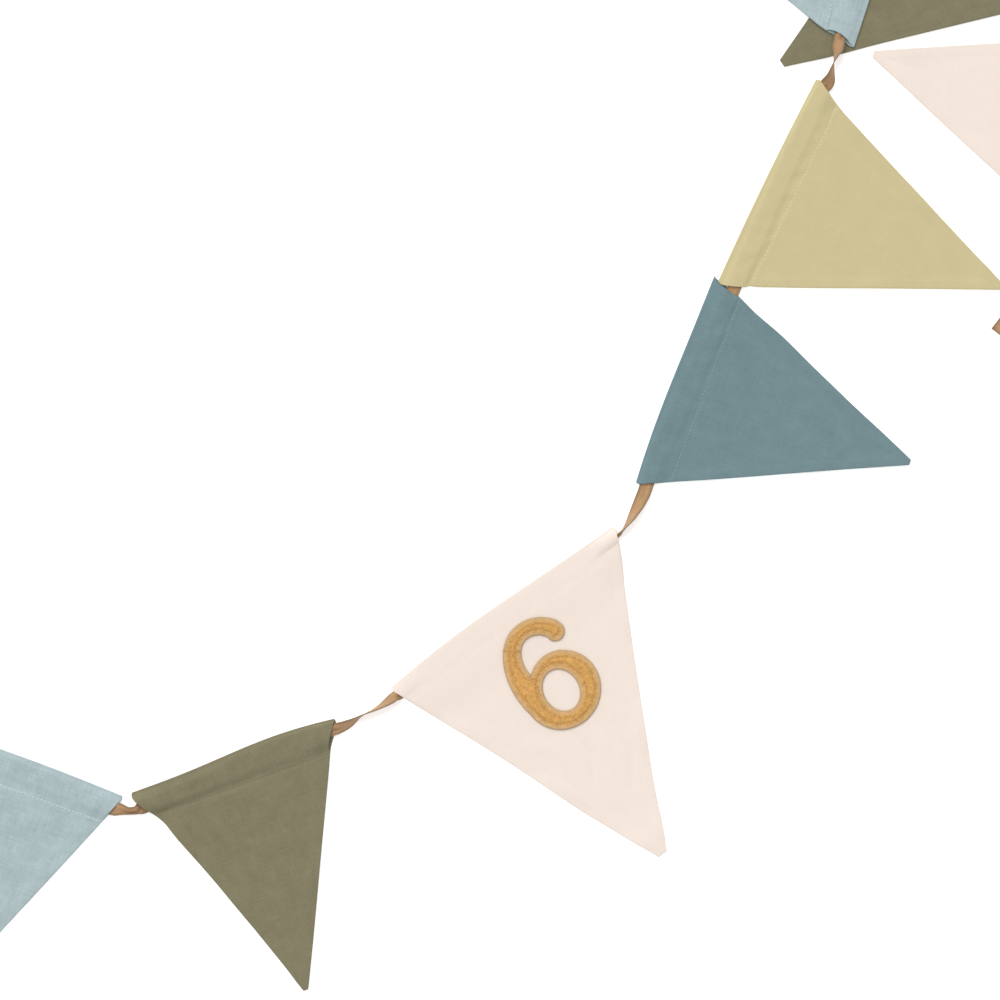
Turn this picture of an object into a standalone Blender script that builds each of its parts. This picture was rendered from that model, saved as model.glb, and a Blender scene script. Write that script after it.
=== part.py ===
"""Fabric bunting laid out on a table: eight double-layer pennants threaded on one flat tape.

Sizes are millimetres and become metres in add_object(). Each pennant is folded at its top and
stitched across to make a channel for the tape. Its own frame has the middle of the fold as
origin, x along the fold in the tape's direction and y from the fold towards the tip.
"""

import math
from collections import namedtuple

import bmesh
import bpy
from mathutils import Matrix, Vector
from mathutils.geometry import delaunay_2d_cdt

MM = 0.001

# Cloth
WALL = 1.0            # one layer of a channel's cloth
BODY = 2.0            # both layers below the channel, with their seam allowances
CLEAR = 0.3           # gap between neighbouring pieces
PUFF = 0.5            # how far the upper layer stands off the lower one
PUFF_WAVES = (17.0, 23.0, 29.0)
RIPPLE = 0.9          # how far the side edges lift off the table in places
RIPPLE_REACH = 20.0
RIPPLE_LENGTH = 74.0
TIP_REACH = 42.0      # length of the tip that lifts a little

# Channel, as distances from the fold
CHANNEL_NEAR = 1.5
CHANNEL_END = 1.0     # the channel ends this far before the stitch line
STITCH_DIP = 0.1
BODY_START = 4.5      # first row of the body, past the stitch line
FLARE_FULL = 4.0      # a mouth's flare is whole down to here
FLARE_END = 32.0      # and has gone back into the side seam here
CORNER_ROUND = 4.5    # rounding of the fold's corners
CORNER_INSET = 1.6
MOUTH_REACH = 30.0    # how far an opened mouth runs into the channel
MOUTH_INSET = 0.4     # how much narrower a mouth is for each millimetre that it is opened
BOW_FADE = 25.0       # distance from the fold over which its curve dies out

# Tape
TAPE_WIDTH = 10.0
TAPE_THICK = 1.0
CHANNEL_HIGH = TAPE_THICK + 2 * CLEAR
GAP_STEP = 2.5        # spacing of the tape's sections between pennants
CHANNEL_STEP = 8.0    # and inside the channels
EDGE_ROLL = 85.0      # roll of the tape where it enters a wide open mouth on its edge
EDGE_WIDTH = 0.45     # share of its width that the tape is bunched to there
EDGE_MOUTH = 4.0      # a mouth opened further than this takes the tape on its edge
ROLLED_FLAT = 16.0    # depths in the channel at which it lies flat and has its full width again
SPREAD_FLAT = 30.0

# Raised numeral on the large pennant, upright towards the fold. Each arc is an ellipse's centre,
# half width, half height and lean in degrees, with the degrees at which it starts and ends
NUMERAL_AT = (1.2, 62.0)
NUMERAL_CLEAR = 52.0
NUMERAL_THICK = 1.2
NUMERAL_CROWN = 1.3
Arc = namedtuple("Arc", "x y wide high lean first last")
NUMERAL_ARCS = (
    Arc(1.0, 10.0, 30.6, 34.9, 0.0, 38, 92),         # top of the stem
    Arc(-0.4, -0.8, 31.9, 45.7, 0.0, 92, 194),       # back
    Arc(-1.56, -12.67, 29.6, 28.2, 24.0, 157, 392),  # bowl
    Arc(2.3, -9.9, 25.0, 25.0, 0.0, 58.5, 128),      # from its top to the crotch
    Arc(0.0, 12.8, 13.8, 19.6, 0.0, 188, 90),        # inner side of the stem
    Arc(0.0, 18.0, 13.9, 14.4, 0.0, 90, 26),
    Arc(19.4, 25.3, 7.4, 7.6, 0.0, -160, 32),        # rounded end
)
NUMERAL_HOLE = Arc(-2.07, -12.4, 12.9, 15.8, -6.2, 0, 360)
NUMERAL_MIDDLE = (                                   # crowned middle lines of bowl and stem
    Arc(-1.8, -12.5, 21.2, 22.0, 0.0, 0, 360),
    Arc(0.2, 12.0, 22.7, 26.6, 0.0, 32, 176),
)
ARC_STEP = 12.0

# One row for each pennant, in the tape's order. x, y is the middle of the fold and turn the
# direction of the tape there, in degrees. lean moves the tip along the fold. hand is 1 where the
# tip lies to the right of the tape's run and -1 where the pennant has turned over. stitch is the
# distance of the channel's stitch line from the fold. flare is how far a fold corner stands
# outside the side seam's line, bow how far an edge curves outward, and blunt the width of the
# tip. tape is the tape's distance from the fold at each mouth, and mouth the extra height to
# which each mouth is opened.
Pennant = namedtuple("Pennant", "name colour x y turn width height lean hand stitch fold_bow "
                     "fold_wave flare_start flare_end bow_start bow_end blunt tape_start tape_end "
                     "mouth_start mouth_end tip_lift")
PENNANTS = [
    Pennant("pennant_blue_1", "light_blue", -348.5, -190.0, -20.0, 158, 183, 0.0, 1, 22.6,
            2.0, 0.0, 0.0, 0.0, 1.0, 0.5, 4, 8.0, 10.8, 0.5, 1.0, 0.8),
    Pennant("pennant_olive_1", "olive", -195.3, -187.0, 20.0, 162, 179, -7.9, 1, 22.0,
            2.4, 1.5, 7.8, 2.7, 0.0, 0.6, 3, 12.6, 7.4, 2.5, 1.5, 0.6),
    Pennant("pennant_pink_1", "pale_pink", 1.7, -78.0, 36.0, 204.5, 215, -13.0, 1, 14.6,
            3.3, -1.0, 0.0, 0.0, -0.6, -0.5, 7, 7.4, 7.9, 1.5, 5.0, 0.8),
    Pennant("pennant_teal_1", "teal", 127.6, 87.2, 69.2, 161.6, 182, 5.2, 1, 23.2,
            1.8, -0.5, 0.8, -0.2, 0.0, 1.3, 4, 8.1, 16.5, 1.0, 1.0, 1.2),
    Pennant("pennant_yellow_1", "yellow", 195.1, 233.3, 64.1, 166.2, 189, 5.1, 1, 22.6,
            1.3, 0.0, -2.2, 2.6, 0.0, -0.3, 4, 12.5, 7.8, 1.0, 1.5, 1.0),
    Pennant("pennant_blue_2", "light_blue", 278.7, 401.6, 74.0, 152, 182, 5.0, -1, 23.7,
            2.0, 0.0, -3.0, 0.0, 0.0, 0.0, 4, 12.0, 8.0, 1.5, 5.0, 0.6),
    Pennant("pennant_olive_2", "olive", 370.1, 431.8, -55.5, 158, 199, 0.0, 1, 22.6,
            1.5, 0.0, 0.0, 0.0, 0.0, 0.0, 6, 8.0, 8.0, 5.0, 5.0, 0.0),
    Pennant("pennant_pink_2", "pale_pink", 444.0, 264.6, -109.7, 160, 182, 0.0, 1, 22.6,
            1.8, 0.0, 0.0, 0.0, 0.5, 0.5, 5, 8.0, 8.0, 5.0, 0.5, 0.8),
]
LARGE, OVER, UNDER = PENNANTS[2], PENNANTS[5], PENNANTS[6]

# The pale blue pennant lies over the olive one
LIFT = BODY + 0.6
LIFT_PAST = 6.0       # it keeps its height this far past the lower one's edge
LIFT_RAMP = 30.0      # and comes down to the table over this distance

# The tape between one pennant and the next, a row for each point: share of the straight line
# from mouth to mouth, offset to the left of it, roll in degrees, width share, height of the
# tape's lower edge. A list is for the gap after the pennant of the same place in PENNANTS.
Gap = namedtuple("Gap", "share offset roll width under")
GAPS = [
    [Gap(0.3, 0.2, 8, 1.0, 0.4), Gap(0.62, -1.8, 40, 0.62, 0.4)],
    [Gap(0.2, -1.6, 42, 1.0, 0.6), Gap(0.38, -1.5, 86, 1.0, 0.0), Gap(0.66, -1.5, 94, 1.0, 0.0),
     Gap(0.84, -1.0, 160, 0.72, 0.8)],
    [Gap(0.23, 0.0, 106, 0.75, 0.4), Gap(0.47, -0.6, 122, 1.0, 0.0), Gap(0.72, -0.8, 145, 1.0, 0.3)],
    [],
    [Gap(0.16, -1.2, 5, 1.0, 1.3), Gap(0.37, -0.8, 62, 1.0, 0.8), Gap(0.55, 0.0, 90, 0.9, 0.4),
     Gap(0.72, 0.3, 140, 1.0, 0.4), Gap(0.85, 0.3, 176, 1.0, 1.0)],
    [Gap(0.25, 5.5, 88, 0.8, 1.0), Gap(0.5, 7.4, 90, 1.0, 0.0), Gap(0.75, 5.5, 92, 0.8, 0.6)],
    [Gap(0.17, -7.0, 88, 0.8, 0.4), Gap(0.39, -7.0, 90, 1.0, 0.0), Gap(0.61, 3.0, 90, 1.0, 0.0),
     Gap(0.82, 14.0, 90, 1.0, 0.0), Gap(0.96, 11.5, 92, 0.8, 0.4)],
]
# Free ends: distance past the mouth, offset to the left, height of the lower edge
FREE_START = [(12.0, 0.0, 0.4), (40.0, 4.0, 0.0), (85.0, 14.0, 0.0)]
FREE_END = [(12.0, 0.0, 0.4), (40.0, -5.0, 0.0), (85.0, -18.0, 0.0)]

# Mesh rows from the fold to the tip, and columns as shares of the width. Each channel row is its
# place as a share of the channel's depth, the channel's height there as a share, and the share of
# a mouth's lift.
CHANNEL_ROWS = ((0.0, 0.55, 0.15), (0.055, 1.0, 0.5), (0.5, 1.0, 1.0), (0.945, 1.0, 0.5),
                (1.0, 0.55, 0.15))
BODY_SHARES = (0.0, 0.12, 0.25, 0.38, 0.52, 0.66, 0.79, 0.91, 1.0)
COLUMNS = (0, .035, .09, .17, .29, .43, .57, .71, .83, .91, .965, 1)

COLOURS = {
    "light_blue": (0.43, 0.53, 0.55, 1.0),
    "olive": (0.23, 0.21, 0.13, 1.0),
    "pale_pink": (0.90, 0.79, 0.71, 1.0),
    "teal": (0.18, 0.27, 0.29, 1.0),
    "yellow": (0.62, 0.53, 0.30, 1.0),
    "tape": (0.50, 0.30, 0.14, 1.0),
    "mustard": (0.68, 0.37, 0.11, 1.0),
}
ROUGHNESS = 0.9
SHARP = math.radians(40)


def smooth(value):
    """Rise from 0 to 1 with level ends."""
    value = min(1.0, max(0.0, value))
    return value * value * (3 - 2 * value)


def blend(first, last, share):
    return first + (last - first) * share


def to_layout(row, x, y):
    """Turn a point of the pennant's frame into one of the layout."""
    angle = math.radians(row.turn)
    along = Vector((math.cos(angle), math.sin(angle)))
    down = Vector((math.sin(angle), -math.cos(angle))) * row.hand
    return Vector((row.x, row.y)) + along * x + down * y


def side_x(row, y, side):
    """x of the pennant's start side (-1) or end side (1) at distance y from the fold."""
    flare, bow, mouth = row.flare_start, row.bow_start, row.mouth_start
    if side > 0:
        flare, bow, mouth = row.flare_end, row.bow_end, row.mouth_end
    share = y / row.height
    reach = blend(row.width / 2 - flare, row.blunt / 2, share) + bow * 4 * share * (1 - share)
    reach += flare * (1 - smooth((y - FLARE_FULL) / (FLARE_END - FLARE_FULL)))
    inset = CORNER_INSET + MOUTH_INSET * mouth
    reach -= inset * max(0.0, 1 - y / CORNER_ROUND) ** 2
    return side * reach + row.lean * share


def fold_shift(row, x, y):
    """How far the curve of the fold carries a point towards the outside."""
    across = max(-1.0, min(1.0, 2 * x / row.width))
    curve = row.fold_bow * (1 - across ** 2) + row.fold_wave * math.sin(math.pi * across)
    return curve * max(0.0, 1 - y / BOW_FADE)


def place(row, x, y):
    """A point of the cloth in the layout, the fold's curve included."""
    return to_layout(row, x, y - fold_shift(row, x, y))


def outside(row, point):
    """Distance of a layout point from the pennant's straight outline, negative inside."""
    corners = [to_layout(row, -row.width / 2, -row.fold_bow),
               to_layout(row, row.width / 2, -row.fold_bow),
               to_layout(row, row.lean, row.height)]
    centre = sum(corners, Vector((0, 0))) / 3
    distances = []
    for first, last in zip(corners, corners[1:] + corners[:1]):
        edge = (last - first).normalized()
        normal = Vector((edge.y, -edge.x))
        if normal.dot(centre - first) > 0:
            normal = -normal
        distances.append(normal.dot(point - first))
    return max(distances)


def lift_over(point):
    """Height that the lower pennant gives to what lies over it."""
    return LIFT * (1 - smooth((outside(UNDER, point) - LIFT_PAST) / LIFT_RAMP))


def underside(row, x, y, point):
    """Height of the pennant's lower face."""
    if row is OVER:
        return lift_over(point)
    if row is UNDER:
        return 0.0
    height = row.tip_lift * smooth((y - row.height + TIP_REACH) / TIP_REACH)
    to_side = min(x - side_x(row, y, -1), side_x(row, y, 1) - x)
    below = y - row.stitch - BODY_START
    wave = max(0.0, math.sin(2 * math.pi * below / RIPPLE_LENGTH + row.turn))
    inner = smooth(below / RIPPLE_REACH) * smooth((row.height - y) / RIPPLE_REACH)
    return height + RIPPLE * wave * inner * (1 - smooth(to_side / RIPPLE_REACH))


def puff(row, x, y):
    """How far the upper layer stands off, in broad soft patches."""
    if row is UNDER or y <= row.stitch + BODY_START:
        return 0.0
    across, down, slant = PUFF_WAVES
    waves = (math.sin(x / across + row.turn) + math.sin(y / down + 2 * row.turn)
             + math.sin((x + y) / slant))
    to_side = min(x - side_x(row, y, -1), side_x(row, y, 1) - x)
    height = PUFF * (0.5 + waves / 6) * smooth(to_side / RIPPLE_REACH)  # waves is within 3 of 0
    if row is LARGE:
        away = math.hypot(x - NUMERAL_AT[0], y - NUMERAL_AT[1])
        height *= smooth(away / NUMERAL_CLEAR - 1)
    return height


def mouth_lift(row, x, y):
    """Extra height of the channel near its opened mouths."""
    from_start = (x - side_x(row, y, -1)) / MOUTH_REACH
    from_end = (side_x(row, y, 1) - x) / MOUTH_REACH
    return row.mouth_start * (1 - smooth(from_start)) + row.mouth_end * (1 - smooth(from_end))


def add_grid(mesh, rows):
    """Faces between the neighbouring rows of points."""
    for upper, lower in zip(rows, rows[1:]):
        for i in range(len(upper) - 1):
            mesh.faces.new((upper[i], upper[i + 1], lower[i + 1], lower[i]))


def add_object(name, colour, mesh):
    """Close the work on a mesh: metres, outward faces, object and material."""
    bmesh.ops.scale(mesh, vec=(MM, MM, MM), verts=mesh.verts)
    bmesh.ops.recalc_face_normals(mesh, faces=mesh.faces)
    data = bpy.data.meshes.new(name)
    mesh.to_mesh(data)
    mesh.free()
    data.shade_smooth()
    data.set_sharp_from_angle(angle=SHARP)
    item = bpy.data.objects.new(name, data)
    bpy.context.scene.collection.objects.link(item)
    data.materials.append(cloth_material(colour))
    return item


def cloth_material(colour):
    if colour in bpy.data.materials:
        return bpy.data.materials[colour]
    material = bpy.data.materials.new(colour)
    material.use_nodes = True
    shader = material.node_tree.nodes["Principled BSDF"]
    shader.inputs["Base Color"].default_value = COLOURS[colour]
    shader.inputs["Roughness"].default_value = ROUGHNESS
    shader.inputs["Metallic"].default_value = 0.0
    return material


def pennant_row(mesh, row, y, height_at):
    """One row of points across the pennant, at a height that height_at gives."""
    points = []
    for share in COLUMNS:
        x = blend(side_x(row, y, -1), side_x(row, y, 1), share)
        flat = place(row, x, y)
        z = underside(row, x, y, flat) + height_at(x)
        points.append(mesh.verts.new((flat.x, flat.y, z)))
    return points


def make_pennant(row):
    """Fold, channel with two open mouths, stitch line and the sewn body down to the tip."""
    mesh = bmesh.new()
    middle = WALL + CHANNEL_HIGH / 2
    nose = pennant_row(mesh, row, 0.0, lambda x: middle)
    front, back, ceiling, floor = [], [], [], []
    for share, full, opened in CHANNEL_ROWS:
        y = blend(CHANNEL_NEAR, row.stitch - CHANNEL_END, share)
        half = CHANNEL_HIGH * full / 2

        def top(x, y=y, half=half, opened=opened):
            return middle + half + opened * mouth_lift(row, x, y)

        ceiling.append(pennant_row(mesh, row, y, top))
        front.append(pennant_row(mesh, row, y, lambda x: top(x) + WALL))
        floor.append(pennant_row(mesh, row, y, lambda x: middle - half))
        back.append(pennant_row(mesh, row, y, lambda x: 0.0))
    last = len(CHANNEL_ROWS) - 1
    start = row.stitch + BODY_START
    body = [row.stitch] + [blend(start, row.height, share) for share in BODY_SHARES]
    for y in body:
        sunk = STITCH_DIP if y == row.stitch else 0.0
        front.append(pennant_row(mesh, row, y, lambda x: BODY - sunk + puff(row, x, y)))
        back.append(pennant_row(mesh, row, y, lambda x: 0.0))

    add_grid(mesh, [nose] + front)
    add_grid(mesh, [nose] + back)
    add_grid(mesh, ceiling)
    add_grid(mesh, floor)
    for j in (0, last):
        add_grid(mesh, [ceiling[j], floor[j]])
    add_grid(mesh, [front[-1], back[-1]])
    for i in (0, -1):
        mesh.faces.new((nose[i], front[0][i], ceiling[0][i]))
        mesh.faces.new((nose[i], ceiling[0][i], floor[0][i]))
        mesh.faces.new((nose[i], floor[0][i], back[0][i]))
        for j in range(last):
            mesh.faces.new((front[j][i], front[j + 1][i], ceiling[j + 1][i], ceiling[j][i]))
            mesh.faces.new((floor[j][i], floor[j + 1][i], back[j + 1][i], back[j][i]))
        mesh.faces.new((front[last][i], front[last + 1][i], ceiling[last][i]))
        mesh.faces.new((ceiling[last][i], front[last + 1][i], back[last + 1][i], floor[last][i]))
        mesh.faces.new((floor[last][i], back[last + 1][i], back[last][i]))
        for j in range(last + 1, len(front) - 1):
            mesh.faces.new((front[j][i], front[j + 1][i], back[j + 1][i], back[j][i]))
    return add_object(row.name, row.colour, mesh)


HALF_TURN = 180.0

# A point of the tape's route: place in the layout, roll, width share, height of the lower edge,
# whether that height is above what the tape lies over, and the spacing of sections from there on
Key = namedtuple("Key", "point roll width under lifted step")


def channel_keys(row, roll_in, roll_out):
    """Points of the tape inside one pennant, from mouth to mouth."""
    base = HALF_TURN * round((roll_in + roll_out) / (2 * HALF_TURN))
    low = WALL + CLEAR
    lifted = 1.0 if row is OVER else 0.0
    first = side_x(row, row.tape_start, -1)
    last = side_x(row, row.tape_end, 1)
    wide_in = EDGE_WIDTH if row.mouth_start > EDGE_MOUTH else 1.0
    wide_out = EDGE_WIDTH if row.mouth_end > EDGE_MOUTH else 1.0
    marks = [(first, roll_in, wide_in), (first + ROLLED_FLAT, base, wide_in),
             (first + SPREAD_FLAT, base, 1.0), ((first + last) / 2, base, 1.0),
             (last - SPREAD_FLAT, base, 1.0), (last - ROLLED_FLAT, base, wide_out),
             (last, roll_out, wide_out)]
    keys = []
    for x, roll, width in marks:
        y = blend(row.tape_start, row.tape_end, (x - first) / (last - first))
        keys.append(Key(place(row, x, y), roll, width, low, lifted, CHANNEL_STEP))
    if row.mouth_start > EDGE_MOUTH:
        keys[0] = keys[0]._replace(step=GAP_STEP)
    if row.mouth_end > EDGE_MOUTH:
        keys[-2] = keys[-2]._replace(step=GAP_STEP)
    keys[-1] = keys[-1]._replace(step=GAP_STEP)
    return keys


def free_keys(anchor, heading, marks, roll):
    """Points of a plain free end that leaves a mouth in the given direction."""
    left = Vector((-heading.y, heading.x))
    return [Key(anchor + heading * away + left * offset, roll, 1.0, under, 0.0, CHANNEL_STEP)
            for away, offset, under in marks]


def tape_keys():
    """The whole route, from the free end at the left to the one at the right."""
    keys = []
    base = 0.0
    for index, row in enumerate(PENNANTS):
        rolled = EDGE_ROLL if row.mouth_start > EDGE_MOUTH else 0.0
        roll_in = base - rolled
        roll_out = base + (EDGE_ROLL if row.mouth_end > EDGE_MOUTH else 0.0)
        inside = channel_keys(row, roll_in, roll_out)
        if keys:
            start, stop = keys[-1].point, inside[0].point
            along = stop - start
            left = Vector((-along.y, along.x)).normalized()
            lifted = 1.0 if row is OVER else 0.0
            turned = keys[-1].roll - keys[-1].roll % HALF_TURN
            for gap in GAPS[index - 1]:
                point = start + along * gap.share + left * gap.offset
                keys.append(Key(point, turned + gap.roll, gap.width, gap.under, lifted, GAP_STEP))
        keys += inside
        if index < len(GAPS) and GAPS[index] and GAPS[index][-1].roll > HALF_TURN / 2:
            base += HALF_TURN
    lead = (keys[0].point - keys[1].point).normalized()
    first = free_keys(keys[0].point, lead, FREE_START, 0.0)
    lead = (keys[-1].point - keys[-2].point).normalized()
    return first[::-1] + keys + free_keys(keys[-1].point, lead, FREE_END, base)


def route(keys):
    """Sections along a smooth curve through the keys."""
    lengths = [(b.point - a.point).length for a, b in zip(keys, keys[1:])]
    slopes = [(keys[1].point - keys[0].point) / lengths[0]]
    for i in range(1, len(keys) - 1):
        before = (keys[i].point - keys[i - 1].point) / lengths[i - 1]
        after = (keys[i + 1].point - keys[i].point) / lengths[i]
        total = lengths[i - 1] + lengths[i]
        slopes.append((before * lengths[i] + after * lengths[i - 1]) / total)
    slopes.append((keys[-1].point - keys[-2].point) / lengths[-1])
    sections = []
    for i, length in enumerate(lengths):
        here, there = keys[i], keys[i + 1]
        count = max(1, round(length / here.step))
        for k in range(count + (i == len(lengths) - 1)):
            t = k / count
            point = (here.point * (2 * t ** 3 - 3 * t ** 2 + 1)
                     + slopes[i] * length * (t ** 3 - 2 * t ** 2 + t)
                     + there.point * (3 * t ** 2 - 2 * t ** 3)
                     + slopes[i + 1] * length * (t ** 3 - t ** 2))
            s = smooth(t)
            values = [blend(a, b, s) for a, b in zip(here[1:5], there[1:5])]
            sections.append((point, *values))
    return sections


def make_tape():
    """One flat tape as a strip that rolls about its own middle line."""
    sections = route(tape_keys())
    mesh = bmesh.new()
    loops = []
    for i, (point, roll, width, under, lifted) in enumerate(sections):
        before, after = sections[max(0, i - 1)][0], sections[min(len(sections) - 1, i + 1)][0]
        along = (after - before).normalized()
        angle = math.radians(roll)
        wide = TAPE_WIDTH * width
        left = Vector((-along.y, along.x, 0.0))
        up = Vector((0.0, 0.0, 1.0))
        across = left * math.cos(angle) + up * math.sin(angle)
        normal = up * math.cos(angle) - left * math.sin(angle)
        half_height = (wide * abs(math.sin(angle)) + TAPE_THICK * abs(math.cos(angle))) / 2
        z = under + lifted * lift_over(point) + half_height
        centre = Vector((point.x, point.y, z))
        corners = [(-1, -1), (1, -1), (1, 1), (-1, 1)]
        loops.append([mesh.verts.new(centre + across * (a * wide / 2) + normal * (b * TAPE_THICK / 2))
                      for a, b in corners])
    for here, there in zip(loops, loops[1:]):
        for k in range(4):
            n = (k + 1) % 4
            mesh.faces.new((here[k], here[n], there[n], there[k]))
    mesh.faces.new(loops[0])
    mesh.faces.new(loops[-1])
    return add_object("tape", "tape", mesh)


def arc(part):
    """Points of an ellipse's arc, without its first one, where the arc before it ends."""
    centre, lean = Vector((part.x, part.y)), Matrix.Rotation(math.radians(part.lean), 2)
    count = max(2, round(abs(part.last - part.first) / ARC_STEP))
    points = []
    for k in range(1, count + 1):
        angle = math.radians(blend(part.first, part.last, k / count))
        across = Vector((part.wide * math.cos(angle), part.high * math.sin(angle)))
        points.append(centre + lean @ across)
    return points


def numeral_outline():
    """Outer outline of the numeral, its hole, and the middle lines of its stroke."""
    outer = [point for part in NUMERAL_ARCS for point in arc(part)]
    middle = [point for part in NUMERAL_MIDDLE for point in arc(part)]
    return outer, arc(NUMERAL_HOLE), middle


def make_numeral():
    """A padded six with a crowned face, flat underneath."""
    outer, hole, middle = numeral_outline()
    points = outer + hole + middle
    loops = [list(range(len(outer))), list(range(len(outer), len(outer) + len(hole)))]
    edges = [(a, b) for loop in loops for a, b in zip(loop, loop[1:] + loop[:1])]
    flat, _, faces, _, _, _ = delaunay_2d_cdt(points, edges, [], 1, 1e-4)
    kept = [face for face in faces
            if not inside_hole(sum((flat[k] for k in face), Vector((0, 0))) / len(face))]
    rim = len(outer) + len(hole)
    bottom = BODY + CLEAR
    mesh = bmesh.new()
    lower, upper = [], []
    for k, point in enumerate(flat):
        place_at = to_layout(LARGE, NUMERAL_AT[0] + point.x, NUMERAL_AT[1] - point.y)
        crown = NUMERAL_CROWN if k >= rim else 0.0
        lower.append(mesh.verts.new((place_at.x, place_at.y, bottom)))
        upper.append(mesh.verts.new((place_at.x, place_at.y, bottom + NUMERAL_THICK + crown)))
    for face in kept:
        mesh.faces.new([upper[k] for k in face])
        mesh.faces.new([lower[k] for k in reversed(face)])
    for a, b in edges:
        mesh.faces.new((lower[a], lower[b], upper[b], upper[a]))
    return add_object("numeral", "mustard", mesh)


def inside_hole(point):
    lean = Matrix.Rotation(math.radians(-NUMERAL_HOLE.lean), 2)
    off = lean @ (point - Vector((NUMERAL_HOLE.x, NUMERAL_HOLE.y)))
    return math.hypot(off.x / NUMERAL_HOLE.wide, off.y / NUMERAL_HOLE.high) < 1.0


def centre_on_origin(items):
    """Move every piece so that the middle of the whole lies over the origin."""
    corners = [item.matrix_world @ vertex.co for item in items for vertex in item.data.vertices]
    low = Vector((min(c.x for c in corners), min(c.y for c in corners), min(c.z for c in corners)))
    high = Vector((max(c.x for c in corners), max(c.y for c in corners), 0.0))
    shift = Vector(((low.x + high.x) / 2, (low.y + high.y) / 2, low.z))
    for item in items:
        item.location = -shift


def main():
    for item in list(bpy.data.objects):
        bpy.data.objects.remove(item)
    items = [make_pennant(row) for row in PENNANTS]
    items.append(make_tape())
    items.append(make_numeral())
    centre_on_origin(items)


main()
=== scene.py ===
"""Looks of the fabric bunting: sewn pennants, woven tape, padded numeral, floor, light and camera.

Lengths are millimetres in the layout frame, whose origin is the middle of the photograph, with x
to its right and y to its top. to_frame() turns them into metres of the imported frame. A pennant's
own frame has the middle of its fold as origin, x along the fold in the tape's direction and y
from the fold towards the tip.
"""

import math
from collections import namedtuple
from functools import cache, partialmethod

import bpy
import numpy as np
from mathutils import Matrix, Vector
from mathutils.geometry import delaunay_2d_cdt


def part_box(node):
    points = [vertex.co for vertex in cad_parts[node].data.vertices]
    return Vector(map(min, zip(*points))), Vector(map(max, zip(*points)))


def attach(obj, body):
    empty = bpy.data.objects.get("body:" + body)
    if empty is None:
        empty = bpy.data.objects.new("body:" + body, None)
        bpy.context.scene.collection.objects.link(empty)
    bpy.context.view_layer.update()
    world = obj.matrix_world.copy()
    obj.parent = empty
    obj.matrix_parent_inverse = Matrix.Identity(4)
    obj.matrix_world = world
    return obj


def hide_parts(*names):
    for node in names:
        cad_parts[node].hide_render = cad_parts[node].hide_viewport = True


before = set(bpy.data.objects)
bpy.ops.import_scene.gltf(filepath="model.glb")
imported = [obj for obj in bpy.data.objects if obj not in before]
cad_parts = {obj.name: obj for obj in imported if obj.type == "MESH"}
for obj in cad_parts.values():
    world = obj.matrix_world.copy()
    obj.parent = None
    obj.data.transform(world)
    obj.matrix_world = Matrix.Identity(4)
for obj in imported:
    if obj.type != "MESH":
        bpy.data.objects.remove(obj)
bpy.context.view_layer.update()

MM = 0.001
HALF_TURN = 180.0

# Picture
PIXEL = 0.7306  # millimetres of the layout that one pixel of the photograph covers
PICTURE = 1000  # pixels on a side
LENS = 100.0  # focal length
SENSOR = 36.0

# Cloth
LAYER = 0.7  # one layer of cloth
BODY = 1.35  # both layers below the channel
SEAM = 0.18  # what the seam allowances add inside the sides
SEAM_WIDE = 6.5  # and how wide they are
SEAM_SOFT = 2.2
PUFF = 0.16  # slow unevenness of the upper layer
PUFF_SIZE = 34.0
RUMPLE = 0.03  # and a finer one
RUMPLE_SIZE = 9.5
CRUMPLE = 0.15  # what the channel adds to it
CRUMPLE_SIZE = 4.5
CRUMPLE_LONG = 1.6  # its waves are longer along the fold by this factor
CRUMPLE_FROM = 4.0  # and grow over this distance from it
RIPPLE = 0.9  # how far the side edges lift off the table in places
RIPPLE_REACH = 20.0
RIPPLE_LENGTH = 74.0
TIP_REACH = 42.0  # length of the tip that lifts a little
PUCKER = 0.10  # small waves along the side seams and the stitch line
PUCKER_SIZE = 5.5
PUCKER_REACH = 3.2
PUCKER_INSET = 1.0  # at their full height this far from the edge
PULL = 0.42  # slanting wrinkles that the stitch line pulls into the channel
PULL_SIZE = 6.5
PULL_REACH = 3.6
PULL_SLANT = 0.6
CREASE_FADE = 0.35  # share of a crease's length over which each end fades
NOISE_CELLS = 96  # cells on a side of the random table, which repeats
NOISE_START = 500.0  # keeps the places in it above 0

# Channel, as distances from the fold
FOLD_ROUND = 1.1  # the fold's own rounding
CHANNEL_NEAR = 1.2  # where the channel starts
CHANNEL_END = 1.0  # the channel ends this far before the stitch line
CHANNEL_ROUND = 0.9
CHANNEL_FADE = 6.0  # the air in the channel runs out over this distance before its end
TAPE_SPACE = 1.3  # space around the tape
TAPE_BESIDE = 5.2  # half width of the ridge over the tape
RIDGE_SOFT = 4.0  # length of its feet
RIDGE_BEFORE = 1.0  # how far its feet may reach past the channel's near end
RIDGE_PAST = 0.2  # and past its far end
RIDGE_LEAST = 0.4  # least length of the far foot
SEWN_PAST = 0.25  # the thread lies a little past the line
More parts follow.
